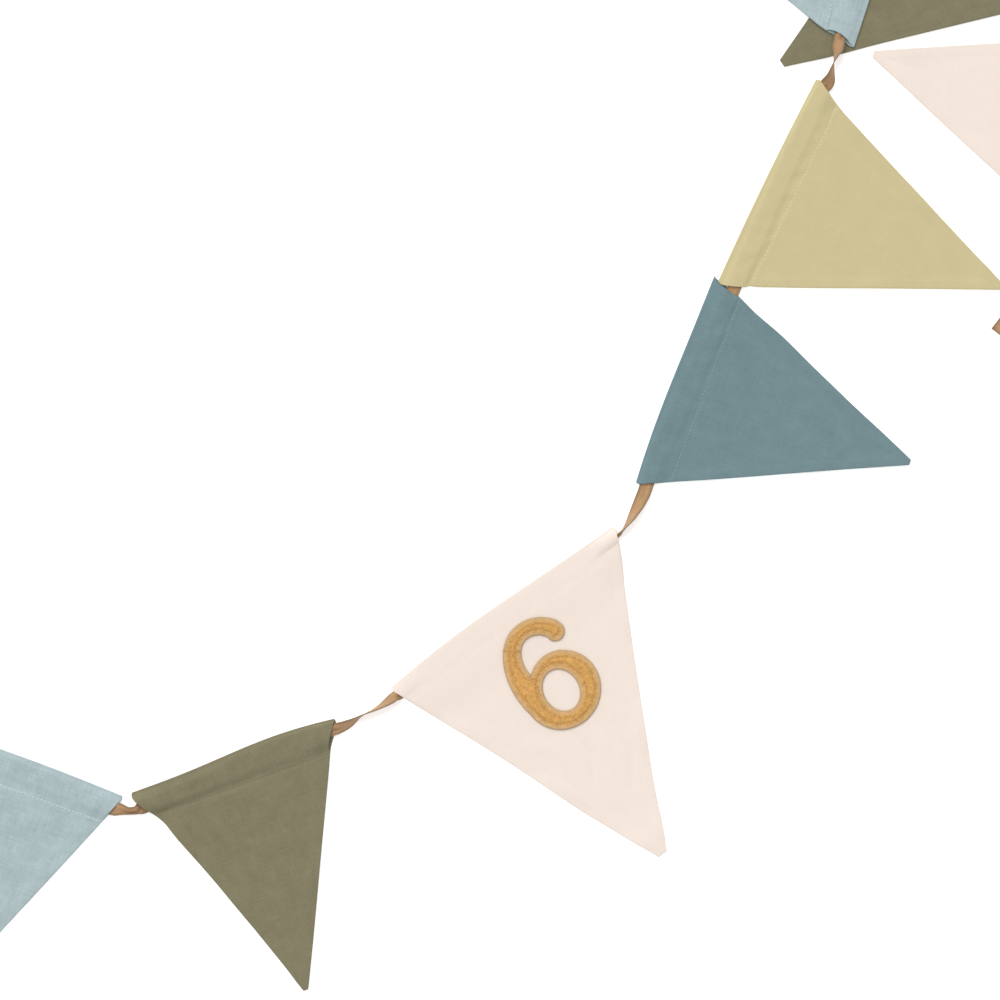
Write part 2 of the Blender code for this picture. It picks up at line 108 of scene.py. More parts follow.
# The welt just below the stitches, the dip that they pull, and the turned edge inside that prints
# through above them: height, distance past the line and width
SEWN_RELIEF = ((0.2, 1.5, 1.15), (-0.13, 0.0, 0.9), (-0.09, -4.8, 1.3))
BACK_DIP = 0.3  # how far the stitches pull the lower layer up
BACK_DIP_WIDE = 0.9
BACK_THREAD = 0.55  # the thread is thinner there
BODY_START = 4.5
FLARE_FULL = 4.0  # the flare of the sides is full up to here
FLARE_END = 32.0  # and gone from here
CORNER_ROUND = 4.5  # the corners at the fold are rounded off over this distance
CORNER_INSET = 1.6  # and by this much
MOUTH_REACH = 30.0
MOUTH_INSET = 0.4
BOW_FADE = 25.0
AIR_STEEP = 3  # the air is full after one part in so many of the channel's depth
FOLD_AIR_FLAT = 2.0
FOLD_AIR_FADE = 1.5
LIFT_FLAT = 0.7  # below 1 a lifted mouth is flatter on top than half a wave
SHOULDER_LEAD = 1.6  # the channel's height is taken this far before its end for its shoulder
SHOULDER_REACH = 34.0

# Mesh of a pennant: rows as distances, columns as distances from the side edges
FOLD_ROWS = (0.0, 0.08, 0.3, 0.65, CHANNEL_NEAR)
ROUND_ROWS = (0.0, 0.12, 0.4, 0.9, 1.6)
STITCH_ROWS = (-0.6, -0.25, 0.0, 0.25, 0.6, 1.1, 1.8, 2.8)
TIP_ROWS = (6.0, 4.2, 2.9, 1.9, 1.2, 0.7, 0.3, 0.08, 0.0)
ROW_STEP = 1.7
EDGE_COLUMNS = (0.0, 0.07, 0.25, 0.55, 1.0, 1.6, 2.6, 4.0, 5.4, 6.6, 7.8, 9.2)
EDGE_SHARE = 2.6  # a row narrower than this many of the last column's distances squeezes them
COLUMN_STEP = 1.9

# Tape
TAPE_WIDTH = 10.0
TAPE_THICK = 0.8
TAPE_LOW = 0.65  # the scene's cloth is thinner, so the tape lies lower by this factor
CHANNEL_UNDER = 1.3  # height of the tape's lower edge in a channel before that
GAP_STEP = 1.1  # length of its sections in a gap
CHANNEL_STEP = 3.0  # and in a channel
EDGE_MOUTH = 4.0  # in a mouth that is lifted higher than this it stands on edge
EDGE_ROLL = 85.0  # with this roll
EDGE_WIDTH = 0.36  # and this share of its width
ROLLED_FLAT = 14.0  # and lies flat this far inside
GATHERS = 1.5  # waves across the tape where it is bunched
TAPE_ACROSS = 12
TAPE_CUP = 0.15  # the edges curl up by this much
TAPE_ROUND = 1.04  # place of its rounded edges across the weave

# Numeral. Each arc is an ellipse's centre, half width, half height and lean in degrees, with the
# degrees at which it starts and ends
NUMERAL_AT = (1.2, 62.0)
Arc = namedtuple("Arc", "x y wide high lean first last")
NUMERAL_ARCS = (
    Arc(1.0, 10.0, 30.6, 34.9, 0.0, 38, 92),  # top of the stem
    Arc(-0.4, -0.8, 31.9, 45.7, 0.0, 92, 194),  # back
    Arc(-1.56, -12.67, 29.6, 28.2, 24.0, 157, 392),  # bowl
    Arc(2.3, -9.9, 25.0, 25.0, 0.0, 58.5, 128),  # from its top to the crotch
    Arc(0.0, 12.8, 13.8, 19.6, 0.0, 188, 90),  # inner side of the stem
    Arc(0.0, 18.0, 13.9, 14.4, 0.0, 90, 26),
    Arc(19.4, 25.3, 7.4, 7.6, 0.0, -160, 32),  # rounded end
)
NUMERAL_HOLE = Arc(-2.07, -12.4, 12.9, 15.8, -6.2, 0, 360)
# Seams across it: a join in the stem, and the stem's end laid over the ring
NUMERAL_SEAMS = (((-20.5, 36.2), (-15.2, 31.9), (-9.2, 27.0)),
                 ((-13.4, 10.2), (-14.3, 8.7), (-15.4, 3.8), (-15.9, -2.3), (-16.9, -8.1)))
ARC_LENGTH = 0.8  # spacing of the outline's points
NUMERAL_CLEAR = 0.1  # height of its underside over the cloth
NUMERAL_GRID = 0.8
ROW_SHARE = 0.866  # the grid's rows stand this much closer than its points
GRID_CLEAR = 0.3  # and start this far inside the roll
NUMERAL_RIM = 1.3  # height of the rolled edge
NUMERAL_ROLL = 1.1
NUMERAL_CROWN = 0.9
NUMERAL_INSETS = (0.12, 0.4, 0.75, NUMERAL_ROLL)
INSET_NEAR = 0.9
NUMERAL_SOLE = 0.5  # the lower edge of its roll
SOLE_ROLL = 0.75
CROWN_REACH = 5.5
NUMERAL_LUMPS = ((0.13, 3.1, 11), (0.09, 1.3, 12))  # height, size and seed
LUMPS_FROM = 1.5
QUILT_INSET = 4.7  # the quilting follows the outer edge at this distance
QUILT_HOLE = 5.2  # and the hole's edge at this one
QUILT_NEAR = 0.97  # points of it nearer to an edge than this share are left out
QUILT_SHORTEST = 3  # and runs of no more points than this
QUILT_DEPTH = 0.30
QUILT_FROM = 2.0
QUILT_WIDE = 1.3

TINY = 1e-12  # keeps a divisor from being 0
MERGED = 1e-5  # points nearer to each other than this are one
ON_RIM = 1e-4  # points nearer to the outline than this are on it

# Sewing
THREAD = 0.74
FAINT_RELIEF = 0.6
FAINT = 0.38  # thinner thread where the stitch line hardly shows
QUILT_THREAD = 0.36
STITCH_PITCH = 3.1
STITCH_LENGTH = 2.7
QUILT_PITCH = 2.3
QUILT_LENGTH = 1.9
SEWN_INSET = 1.5  # the stitches start this far inside the side edges
SEWN_STEP = 0.5

# The same rows as in the part's source
Pennant = namedtuple("Pennant", "name colour x y turn width height lean hand stitch fold_bow "
                     "fold_wave flare_start flare_end bow_start bow_end blunt tape_start tape_end "
                     "mouth_start mouth_end tip_lift")
PENNANTS = [
    Pennant("pennant_blue_1", "light_blue", -348.5, -190.0, -20.0, 158, 183, 0.0, 1, 22.6,
            2.0, 0.0, 0.0, 0.0, 1.0, 0.5, 4, 8.0, 10.8, 0.5, 1.0, 0.8),
    Pennant("pennant_olive_1", "olive", -195.3, -187.0, 20.0, 162, 179, -7.9, 1, 22.0,
            2.4, 1.5, 7.8, 2.7, 0.0, 0.6, 3, 12.6, 7.4, 2.5, 1.5, 0.6),
    Pennant("pennant_pink_1", "pale_pink", 1.7, -78.0, 36.0, 204.5, 215, -13.0, 1, 14.6,
            3.3, -1.0, 0.0, 0.0, -0.6, -0.5, 7, 7.4, 7.9, 1.5, 5.0, 0.8),
    Pennant("pennant_teal_1", "teal", 127.6, 87.2, 69.2, 161.6, 182, 5.2, 1, 23.2,
            1.8, -0.5, 0.8, -0.2, 0.0, 1.3, 4, 8.1, 16.5, 1.0, 1.0, 1.2),
    Pennant("pennant_yellow_1", "yellow", 195.1, 233.3, 64.1, 166.2, 189, 5.1, 1, 22.6,
            1.3, 0.0, -2.2, 2.6, 0.0, -0.3, 4, 12.5, 7.8, 1.0, 1.5, 1.0),
    Pennant("pennant_blue_2", "light_blue", 278.7, 401.6, 74.0, 152, 182, 5.0, -1, 23.7,
            2.0, 0.0, -3.0, 0.0, 0.0, 0.0, 4, 12.0, 8.0, 1.5, 5.0, 0.6),
    Pennant("pennant_olive_2", "olive", 370.1, 431.8, -55.5, 158, 199, 0.0, 1, 22.6,
            1.5, 0.0, 0.0, 0.0, 0.0, 0.0, 6, 8.0, 8.0, 5.0, 5.0, 0.0),
    Pennant("pennant_pink_2", "pale_pink", 444.0, 264.6, -109.7, 160, 182, 0.0, 1, 22.6,
            1.8, 0.0, 0.0, 0.0, 0.5, 0.5, 5, 8.0, 8.0, 5.0, 0.5, 0.8),
]
LARGE, TEAL, OVER, UNDER = PENNANTS[2], PENNANTS[3], PENNANTS[5], PENNANTS[6]
OLIVE = PENNANTS[1]
LIFT = 2.15  # the pale blue pennant lies this high on the olive one
LIFT_PAST = 6.0
LIFT_RAMP = 30.0

# How a channel lies: air in it at its start and end, how plainly its stitch line shows, how far
# the front and the back layer stand back at its start and end mouths, how much its corners at the
# fold are rounded off, the share of its height that carries on below the stitch line, the air
# right at the fold, the share of a wide open mouth's lift that the cloth takes, and the share of
# its width that the tape is bunched to at each mouth
Channel = namedtuple("Channel", "air_start air_end relief front_start front_end back_start back_end "
                     "corner_start corner_end shoulder fold_air lift tape_in tape_out")
PLAIN = Channel(0.5, 0.5, 1.0, 0.5, 0.5, 0.0, 0.0, 1.0, 1.0, 0.4, 0.0, 0.85, 1.0, 1.0)
CHANNELS = {name: PLAIN._replace(**given) for name, given in {
    "olive_1": dict(air_start=2.4, air_end=1.1, relief=0.55, front_end=3, back_end=0.2,
        shoulder=0.2, tape_out=0.85),
    "pink_1": dict(air_start=0.25, air_end=0.25, relief=0.1, front_start=0.3, front_end=0.6,
        shoulder=0.96, fold_air=1.15, tape_in=0.78),
    "teal_1": dict(air_start=0.6, air_end=0.6, front_start=0.4, front_end=1.7, back_end=-0.5,
        corner_end=-0.5, shoulder=0.7),
    "yellow_1": dict(front_start=-2, front_end=0.4, corner_start=0.6, tape_out=0.97),
    "blue_2": dict(air_start=0.8, air_end=0.6, front_start=3.2, front_end=1, back_start=0.6, lift=1,
        tape_in=0.85),
    "pink_2": dict(air_start=0.25, air_end=0.25, relief=0.1, shoulder=0.96, fold_air=1.15, lift=1),
}.items()}


def named_rows(kind, table):
    """Each pennant's rows with their columns named."""
    return {name: [kind(*row) for row in rows] for name, rows in table.items()}


# How far the side edges stray from the seams' run: side (-1 start, 1 end), distance from the fold,
# reach along the edge, and how far out
Bulge = namedtuple("Bulge", "side y wide out")
BULGES = named_rows(Bulge, {
    "olive_1": (
        (-1, 43, 20, 1.1), (-1, 112, 34, -0.4), (-1, 176, 11, 0.6), (1, 20, 7, -1),
        (1, 85, 45, -0.4)),
    "pink_1": (
        (-1, 78, 32, -0.7), (-1, 155, 24, 1.1), (-1, 212, 14, -1.2), (1, 22, 15, 1.4),
        (1, 95, 30, -0.2), (1, 206, 24, 2.1)),
    "teal_1": (
        (-1, 50, 60, 1.2), (1, 21, 13, 1.6), (1, 62, 20, 1.3), (1, 126, 22, -0.6)),
    "yellow_1": (
        (-1, 50, 60, 0.7), (1, 2, 5, 1.2)),
    "olive_2": (
        (1, 166, 22, 0.9),),
})

# Points of the tape in each gap between two pennants: share of the way from mouth to mouth, how
# far it strays to the left, its roll in degrees, share of its width and height of its lower edge
Gap = namedtuple("Gap", "share offset roll width under")
GAPS = [[Gap(*row) for row in rows] for rows in (
    ((0.22, -0.3, 22, 0.95, 0.4), (0.6, -1.9, 50, 0.72, 0.4), (0.8, -1.6, 44, 0.75, 0.5)),
    ((0.04, -0.3, 32, 0.95, 0.6), (0.12, -0.9, 41, 1, 0.6), (0.21, -1.1, 52, 1, 0.3),
     (0.3, -0.8, 68, 1, 0), (0.4, -0.3, 83, 1, 0), (0.5, -0.6, 89, 1, 0), (0.6, -1, 96, 1, 0),
     (0.7, -1, 106, 1, 0), (0.8, -0.6, 120, 1, 0.2), (0.89, -0.1, 132, 1, 0.6),
     (0.96, 0.3, 142, 0.92, 0.9)),
    ((0.1, -0.85, 93, 0.97, 0.3), (0.23, -1.6, 102, 1, 0), (0.38, -2, 120, 1, 0),
     (0.53, -2, 136, 1, 0), (0.68, -1.8, 153, 1, 0.3), (0.84, -1.25, 170, 1, 0.8)),
    (),
    ((0.05, -1, 8, 0.98, 1), (0.12, -1.7, 24, 1, 0.9), (0.19, -1.9, 42, 1, 0.9),
     (0.26, -1.7, 56, 1, 0.8), (0.33, -1.4, 66, 1, 0.6), (0.42, -1.2, 77, 1, 0.4),
     (0.51, -1, 88, 1, 0.3), (0.6, -1.1, 99, 1, 0.3), (0.68, -1.1, 114, 1, 0.4),
     (0.76, -0.95, 136, 1, 0.5), (0.86, -0.4, 149, 1, 0.8), (0.95, -0.15, 158, 0.92, 1)),
    ((0.25, 5.5, 88, 0.8, 1), (0.5, 7.4, 90, 1, 0), (0.75, 5.5, 92, 0.8, 0.6)),
    ((0.17, -7, 88, 0.8, 0.4), (0.39, -7, 90, 1, 0), (0.61, 3, 90, 1, 0), (0.82, 14, 90, 1, 0),
     (0.96, 11.5, 92, 0.8, 0.4)),
)]
# Points of its free ends: distance from the mouth, how far to the left and the same height
FREE_START = [(12.0, 0.0, 0.4), (40.0, 4.0, 0.0), (85.0, 14.0, 0.0)]
FREE_END = [(12.0, 0.0, 0.4), (40.0, -5.0, 0.0), (85.0, -18.0, 0.0)]

# Soft creases of a pennant, in its own frame: from, to, height (below 0 for a trough) and width
Crease = namedtuple("Crease", "x0 y0 x1 y1 height width")
CREASES = named_rows(Crease, {
    "pink_1": (
        (-13, 97, -11, 135, -0.45, 2), (-9, 122, -26, 151, -0.42, 2.2),
        (9, 105, -20, 172, 0.6, 6.5), (26, 110, 6, 158, -0.5, 3.6), (-40, 132, -32, 160, 0.42, 2.4),
        (-47, 86, -25, 116, 0.45, 5.5), (20, 136, -6, 168, -0.4, 3), (75, 18, 91, 9, -0.3, 3)),
    "olive_1": (
        (-84, 21.6, 32, 20.8, -0.55, 2.2), (-80, 16, 10, 14, -0.25, 4.5),
        (-72, 22.8, 76, 22.8, -0.36, 1.1), (38, 15, 76, 20, -0.3, 2.2), (-58, 26, -30, 45, 0.3, 5)),
    "teal_1": (
        (14, 152, 0, 176, 0.4, 2.2), (4, 140, 8, 178, -0.3, 3), (80, 1, 71, 13, -0.45, 0.9),
        (72.6, 6, 74, 26, -0.45, 0.9), (77, 2, 74.5, 22, -0.25, 1.4), (46, 14, 62, 21, -0.35, 1.8),
        (-76, 17, -40, 15, -0.4, 2.2), (-62, 5, -30, 9, -0.25, 2)),
    "yellow_1": (
        (-70, 9, -48, 19, -0.35, 2), (20, 60, -8, 120, 0.3, 7), (-30, 16, 30, 18, -0.2, 1.6)),
    "blue_2": (
        (-78, 21.5, -32, 27, 0.6, 1.8), (-74, 14, -40, 19, -0.45, 1.8),
        (-67, 18, -54, 50, -0.55, 0.8), (-71, 12, -58, 30, 0.25, 1.6), (-60, 7, -48, 14, 0.3, 2.2)),
})

# Finishes: colour of the cloth and of its thread, and how strongly slubs and mottling show
Finish = namedtuple("Finish", "colour thread slubs")
FINISHES = {
    "light_blue": Finish((0.415, 0.51, 0.53), (0.62, 0.70, 0.70), 0.11),
    "olive": Finish((0.225, 0.203, 0.123), (0.205, 0.187, 0.115), 0.09),
    "pale_pink": Finish((0.91, 0.795, 0.712), (0.91, 0.795, 0.712), 0.014),
    "teal": Finish((0.172, 0.263, 0.282), (0.25, 0.355, 0.35), 0.065),
    "yellow": Finish((0.625, 0.54, 0.303), (0.77, 0.69, 0.455), 0.025),
    "tape": Finish((0.50, 0.30, 0.15), (0.50, 0.30, 0.15), 0.15),
    "mustard": Finish((0.72, 0.385, 0.11), (0.52, 0.29, 0.085), 0.13),
}
PAINTED_EDGE_SHADE = -0.3  # what the outermost millimetre adds to the slubs' amount; below 0, it darkens the cut edges as painted shade
SLUB_SHARE = 0.6  # weights of the slubs with the broad mottling, and of the single yarns
YARN_SHARE = 0.9
SLUB = (0.9, 26.0)  # width and length
YARN = (0.28, 7.0)
WEAVE = 0.62
CLOTH_MOTTLE = 0.07  # noise cells to a millimetre
CLOTH_CONTRAST = 1.2
THREAD_MOTTLE = 1500.0  # and to a metre
RIB = 1.3
TAPE_YARN = (0.7, 14.0)
TAPE_MOTTLE = (5.0, 9.0)
SELVEDGE = 2.4
# Width of the numeral's darker outline, partly its binding and partly painted shade
RIM_WIDE = 1.3
NUMERAL_BAND = (0.66, 0.42, 0.20)
# Dark of the numeral's specks, and of the painted shade in its quilting grooves
NUMERAL_SPECKS_AND_SHADE = (0.33, 0.17, 0.045)
# Outline of the numeral's rolled edge: partly its own brown binding, partly painted shade
NUMERAL_OUTLINE_AND_SHADE = (0.42, 0.31, 0.17)
# Darker edges of the tape: partly the selvedges' own colour, partly painted shade
TAPE_SELVEDGE_AND_SHADE = (0.27, 0.18, 0.105)
FLOOR_COLOUR = (0.96, 0.96, 0.96, 1.0)
FLOOR_REACH = 20.0  # metres
FLOOR_DOWN = 0.0003  # metres, so that the thread of the undersides stays above it
WHITE = (1.0, 1.0, 1.0, 1.0)
FLOOR_GLOW = 0.42  # the photograph's table is lit from below until it is white

# Light
SKY = 0.60
WINDOW = 1.63
WINDOW_WIDE = 45.0  # degrees across
WINDOW_WAY = (0.35, -0.75, -1.0)


def smooth(value):
    """Rise from 0 to 1 with level ends."""
    value = np.clip(value, 0.0, 1.0)
    return value * value * (3 - 2 * value)


def fall(value):
    """Drop from 1 to 0 with level ends."""
    return 1 - smooth(value)


def bell(off, wide):
    return np.exp(-(off / wide) ** 2)


def blend(first, last, share):
    return first + (last - first) * share


def rounded(share):
    """Quarter of a circle from 0 to 1."""
    return np.sqrt(1 - (1 - np.clip(share, 0.0, 1.0)) ** 2)


def unit(vector):
    return vector / np.linalg.norm(vector)


def left_of(direction):
    return np.array((-direction[1], direction[0]))


def turned_by(degrees):
    """Cosine and sine of an angle."""
    return math.cos(math.radians(degrees)), math.sin(math.radians(degrees))


def travelled_along(line):
    """Distance of each point from the line's first one, along the line."""
    return np.concatenate([[0], np.cumsum(np.linalg.norm(np.diff(line, axis=0), axis=1))])


def noise(x, y, size, seed):
    """Smooth random values from -1 to 1 that change over about the given size."""
    table = np.random.default_rng(seed).uniform(-1, 1, (NOISE_CELLS + 1, NOISE_CELLS + 1))
    u, v = x / size + NOISE_START, y / size + NOISE_START
    i, j = np.floor(u).astype(int), np.floor(v).astype(int)
    across, down = smooth(u - i), smooth(v - j)
    i, j = i % NOISE_CELLS, j % NOISE_CELLS
    upper = blend(table[i, j], table[i + 1, j], across)
    lower = blend(table[i, j + 1], table[i + 1, j + 1], across)
    return blend(upper, lower, down)


def to_layout(row, x, y):
    """Turn points of the pennant's frame into ones of the layout."""
    along = turned_by(row.turn)
    down = (along[1] * row.hand, -along[0] * row.hand)
    return np.stack([row.x + along[0] * x + down[0] * y, row.y + along[1] * x + down[1] * y], -1)


def tips(row):
    """Both corners of a pennant's blunt tip, in the layout."""
    return to_layout(row, row.lean + np.array((-0.5, 0.5)) * row.blunt, np.full(2, row.height))


# From the layout to the frame, by two tips that are the outermost points of their nodes
SHIFT = np.array((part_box(TEAL.name)[1][0] / MM - tips(TEAL)[:, 0].max(),
                  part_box(OLIVE.name)[0][1] / MM - tips(OLIVE)[:, 1].min()))


def to_frame(points):
    """Points of the layout, with their heights, as metres of the frame."""
    moved = np.array(points, float)
    moved[..., :2] += SHIFT
    return moved * MM


def short_name(row):
    return row.name.removeprefix("pennant_")


def channel_of(row):
    return CHANNELS.get(short_name(row), PLAIN)


def side_x(row, y, side):
    """x of the pennant's start side (-1) or end side (1) at distance y from the fold."""
    end = "_start" if side < 0 else "_end"
    flare, bow, mouth = (getattr(row, key + end) for key in ("flare", "bow", "mouth"))
    share = y / row.height
    reach = blend(row.width / 2 - flare, row.blunt / 2, share) + bow * 4 * share * (1 - share)
    reach = reach + flare * fall((y - FLARE_FULL) / (FLARE_END - FLARE_FULL))
    for bulge in BULGES.get(short_name(row), ()):
        if bulge.side == side:
            reach = reach + bulge.out * bell(y - bulge.y, bulge.wide)
    inset = (CORNER_INSET + MOUTH_INSET * mouth) * getattr(channel_of(row), "corner" + end)
    reach = reach - inset * np.clip(1 - y / CORNER_ROUND, 0.0, None) ** 2
    return side * reach + row.lean * share


def place(row, x, y):
    """Points of the cloth in the layout, the fold's curve included."""
    across = np.clip(2 * x / row.width, -1.0, 1.0)
    curve = row.fold_bow * (1 - across ** 2) + row.fold_wave * np.sin(math.pi * across)
    return to_layout(row, x, y - curve * np.clip(1 - y / BOW_FADE, 0.0, None))


def lift_over(points):
    """Height that the lower pennant gives to what lies over it, by its straight outline."""
    half, bow = UNDER.width / 2, -UNDER.fold_bow
    corners = to_layout(UNDER, np.array((-half, half, UNDER.lean)), np.array((bow, bow, UNDER.height)))
    outside = [(points - first) @ left_of(unit(last - first))
               for first, last in zip(corners, np.roll(corners, -1, 0))]
    return LIFT * fall((np.maximum.reduce(outside) - LIFT_PAST) / LIFT_RAMP)


def to_side(row, x, y):
    """Distance along the fold's direction to the nearer side edge."""
    return np.minimum(x - side_x(row, y, -1), side_x(row, y, 1) - x)


def under(row, x, y):
    """Height of the pennant's lower face."""
    if row is OVER:
        return lift_over(place(row, x, y))
    if row is UNDER:
        return np.zeros(np.broadcast(x, y).shape)
    below = y - row.stitch - BODY_START
    wave = np.clip(np.sin(2 * math.pi * below / RIPPLE_LENGTH + row.turn), 0.0, None)
    inner = smooth(below / RIPPLE_REACH) * smooth((row.height - y) / RIPPLE_REACH)
    return (row.tip_lift * smooth((y - row.height + TIP_REACH) / TIP_REACH)
            + RIPPLE * wave * inner * fall(to_side(row, x, y) / RIPPLE_REACH))


def creases(row, x, y):
    """Soft troughs and ridges, given one by one."""
    total = np.zeros(np.broadcast(x, y).shape)
    for crease in CREASES.get(short_name(row), ()):
        run = np.array((crease.x1 - crease.x0, crease.y1 - crease.y0))
        length = np.linalg.norm(run)
        run, dx, dy = run / length, x - crease.x0, y - crease.y0
        along, off = dx * run[0] + dy * run[1], dx * run[1] - dy * run[0]
        ends = smooth(along / (CREASE_FADE * length))
        ends = ends * smooth((length - along) / (CREASE_FADE * length))
        total = total + crease.height * ends * bell(off, crease.width)
    return total


def tape_mouths(row):
    """x of the tape's middle at both mouths of a pennant."""
    return side_x(row, row.tape_start, -1), side_x(row, row.tape_end, 1)


def tape_from_fold(row, x):
    """Distance of the tape's middle from the fold inside a pennant."""
    first, last = tape_mouths(row)
    return blend(row.tape_start, row.tape_end, np.clip((x - first) / (last - first), 0.0, 1.0))


def mouth_lift(row, x, y):
    """Extra height of the channel near its opened mouths."""
    total = 0.0
    for side, mouth in ((-1, row.mouth_start), (1, row.mouth_end)):
        high = mouth * channel_of(row).lift if mouth > EDGE_MOUTH else mouth
        total = total + high * fall(side * (side_x(row, y, side) - x) / MOUTH_REACH)
    return total


def channel_gap(row, x, y):
    """Inner height of the channel: some air, a ridge over the tape and the lifted mouths."""
    channel = channel_of(row)
    end = row.stitch - CHANNEL_END
    middle = tape_from_fold(row, x)
    near, far = middle - TAPE_BESIDE, middle + TAPE_BESIDE
    near_foot = np.maximum(near - RIDGE_SOFT, CHANNEL_NEAR - RIDGE_BEFORE)
    far_foot = np.maximum(np.minimum(far + RIDGE_SOFT, end + RIDGE_PAST), far + RIDGE_LEAST)
    ridge = smooth((y - near_foot) / (near - near_foot)) * smooth((far_foot - y) / (far_foot - far))
    depth = np.clip((y - CHANNEL_NEAR) / (end - CHANNEL_NEAR), 0.0, 1.0)
    air = blend(channel.air_start, channel.air_end, np.clip(0.5 + x / row.width, 0.0, 1.0))
    air = air * smooth(depth * AIR_STEEP) * smooth((end - y) / CHANNEL_FADE)
    lifted = np.sin(math.pi * depth).clip(0.0) ** LIFT_FLAT * mouth_lift(row, x, y)
    gap = np.maximum(air, TAPE_SPACE * ridge) + lifted
    return gap * rounded((y - CHANNEL_NEAR) / CHANNEL_ROUND) * rounded((end - y) / CHANNEL_ROUND)


def shoulder(row, x, y):
    """Height that the channel hands on to the cloth below it, and the air right at the fold."""
    channel = channel_of(row)
    before = row.stitch - CHANNEL_END - SHOULDER_LEAD
    full = channel.shoulder * channel_gap(row, x, np.full(np.broadcast(x, y).shape, before))
    full = full * smooth((y - before) / (SHOULDER_LEAD / 2))
    full = full * fall((y - row.stitch) / SHOULDER_REACH)
    return np.maximum(full, channel.fold_air * fall((y - FOLD_AIR_FLAT) / FOLD_AIR_FADE))


def unevenness(row, x, y):
    """How the upper layer stands off, in broad soft patches, puckers and creases."""
    seed, level = abs(round(row.x)), np.zeros_like(x * y)
    away, past = to_side(row, x, y), y - row.stitch
    patches = PUFF * (1 + noise(x, y, PUFF_SIZE, seed)) * smooth(away / RIPPLE_REACH)
    patches = patches + RUMPLE * noise(x, y, RUMPLE_SIZE, seed + 1)
    pucker = PUCKER * noise(level, y, PUCKER_SIZE, seed + 2)
    pucker = pucker * np.exp(-np.clip(away - PUCKER_INSET, 0.0, None) / PUCKER_REACH)
    off = np.abs(past) / PUCKER_REACH
    along_line = PUCKER * noise(x, level, PUCKER_SIZE, seed + 3) * off * np.exp(1 - off)
    above = np.clip(-past, 0.0, None) / PULL_REACH
    pull = PULL * noise(x - PULL_SLANT * past, level, PULL_SIZE, seed + 4) * above * np.exp(1 - above)
    body = smooth(past / BODY_START)
    crumpled = CRUMPLE * noise(x, CRUMPLE_LONG * y, CRUMPLE_SIZE, seed + 5) * (1 - body)
    crumpled = crumpled * smooth(y / CRUMPLE_FROM)
    sewn = (along_line + pull + crumpled) * channel_of(row).relief
    return patches * body + pucker + sewn + creases(row, x, y)


def top_height(row, x, y):
    """Height of the upper face over the underside."""
    off = y - row.stitch
    seam = SEAM * fall((to_side(row, x, y) - SEAM_WIDE) / SEAM_SOFT)
    sewn = sum(high * bell(off - at, wide) for high, at, wide in SEWN_RELIEF)
    gap = np.where(y < row.stitch - CHANNEL_END, channel_gap(row, x, y), 0.0)
    gap = np.maximum(gap, shoulder(row, x, y))
    flat = BODY + smooth(-off / BODY_START) * (2 * LAYER - BODY)
    return (np.maximum(BODY + seam * smooth(off / BODY_START), flat) + sewn * channel_of(row).relief
            + gap + unevenness(row, x, y))


def back_height(row, y):
    """Height of the lower face over the underside: a groove at the stitch line."""
    return BACK_DIP * bell(y - row.stitch, BACK_DIP_WIDE)


def mesh_rows(row):
    """Distances of the rows from the fold, closest at the fold, the stitches and the tip."""
    end = row.stitch - CHANNEL_END
    near, far = CHANNEL_NEAR + np.array(ROUND_ROWS[1:]), end - np.array(ROUND_ROWS)
    stitched, tip = row.stitch + np.array(STITCH_ROWS), row.height - np.array(TIP_ROWS)
    channel = np.linspace(near[-1], far[-1], round((far[-1] - near[-1]) / ROW_STEP) + 1)
    body = np.linspace(stitched[-1], tip[0], round((tip[0] - stitched[-1]) / ROW_STEP) + 1)
    rows = np.concatenate([FOLD_ROWS, near[:-1], channel, far[-2::-1], stitched, body[1:-1], tip])
    return rows, len(FOLD_ROWS) - 1, int(np.argmin(np.abs(rows - end)))


def column_x(row, left, right):
    """x of each column in rows that reach from left to right, closest at the side edges."""
    count = round((row.width - 2 * EDGE_COLUMNS[-1]) / COLUMN_STEP)
    shares = np.linspace(0, 1, count + 1)[1:-1]
    width = (right - left)[:, None]
    edge = np.array(EDGE_COLUMNS) * np.minimum(1.0, width / (EDGE_SHARE * EDGE_COLUMNS[-1]))
    inner = edge[:, -1:] + (width - 2 * edge[:, -1:]) * shares
    return left[:, None] + np.concatenate([edge, inner, width - edge[:, ::-1]], 1)


def quads_of(numbers, turned):
    """Quads between the neighbours in a grid of point numbers."""
    corners = [numbers[:-1, :-1], numbers[:-1, 1:], numbers[1:, 1:], numbers[1:, :-1]]
    return np.stack(corners[::-1] if turned else corners, -1).reshape(-1, 4).tolist()


def tube_faces(rings, turned):
    """Faces of a tube with closed ends, from its rings of point numbers."""
    sides = quads_of(np.concatenate([rings, rings[:, :1]], 1), turned)
    ends = [rings[0].tolist(), rings[-1, ::-1].tolist()]
    return sides + [end if turned else end[::-1] for end in ends]


def linked(name, data):
    """A new object of the scene."""
    made = bpy.data.objects.new(name, data)
    bpy.context.scene.collection.objects.link(made)
    return made


def add_object(name, points, faces, material, **marks):
    """A smooth mesh piece that rides with the part, with marks for its material at each point."""
    used, numbers = np.unique(np.concatenate(faces), return_inverse=True)
    faces = np.split(numbers.ravel(), np.cumsum([len(face) for face in faces])[:-1])
    mesh = bpy.data.meshes.new(name)
    mesh.from_pydata(to_frame(points[used]).tolist(), [], [face.tolist() for face in faces])
    mesh.shade_smooth()
    for key, values in marks.items():
        kind, field = ("FLOAT_VECTOR", "vector") if values.ndim > 1 else ("FLOAT", "value")
        layer = mesh.attributes.new(key, kind, "POINT")
        layer.data.foreach_set(field, values[used].astype(np.float32).ravel())
    mesh.materials.append(material)
    mesh.validate()
    piece = linked(name, mesh)
    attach(piece, "root")
    return piece


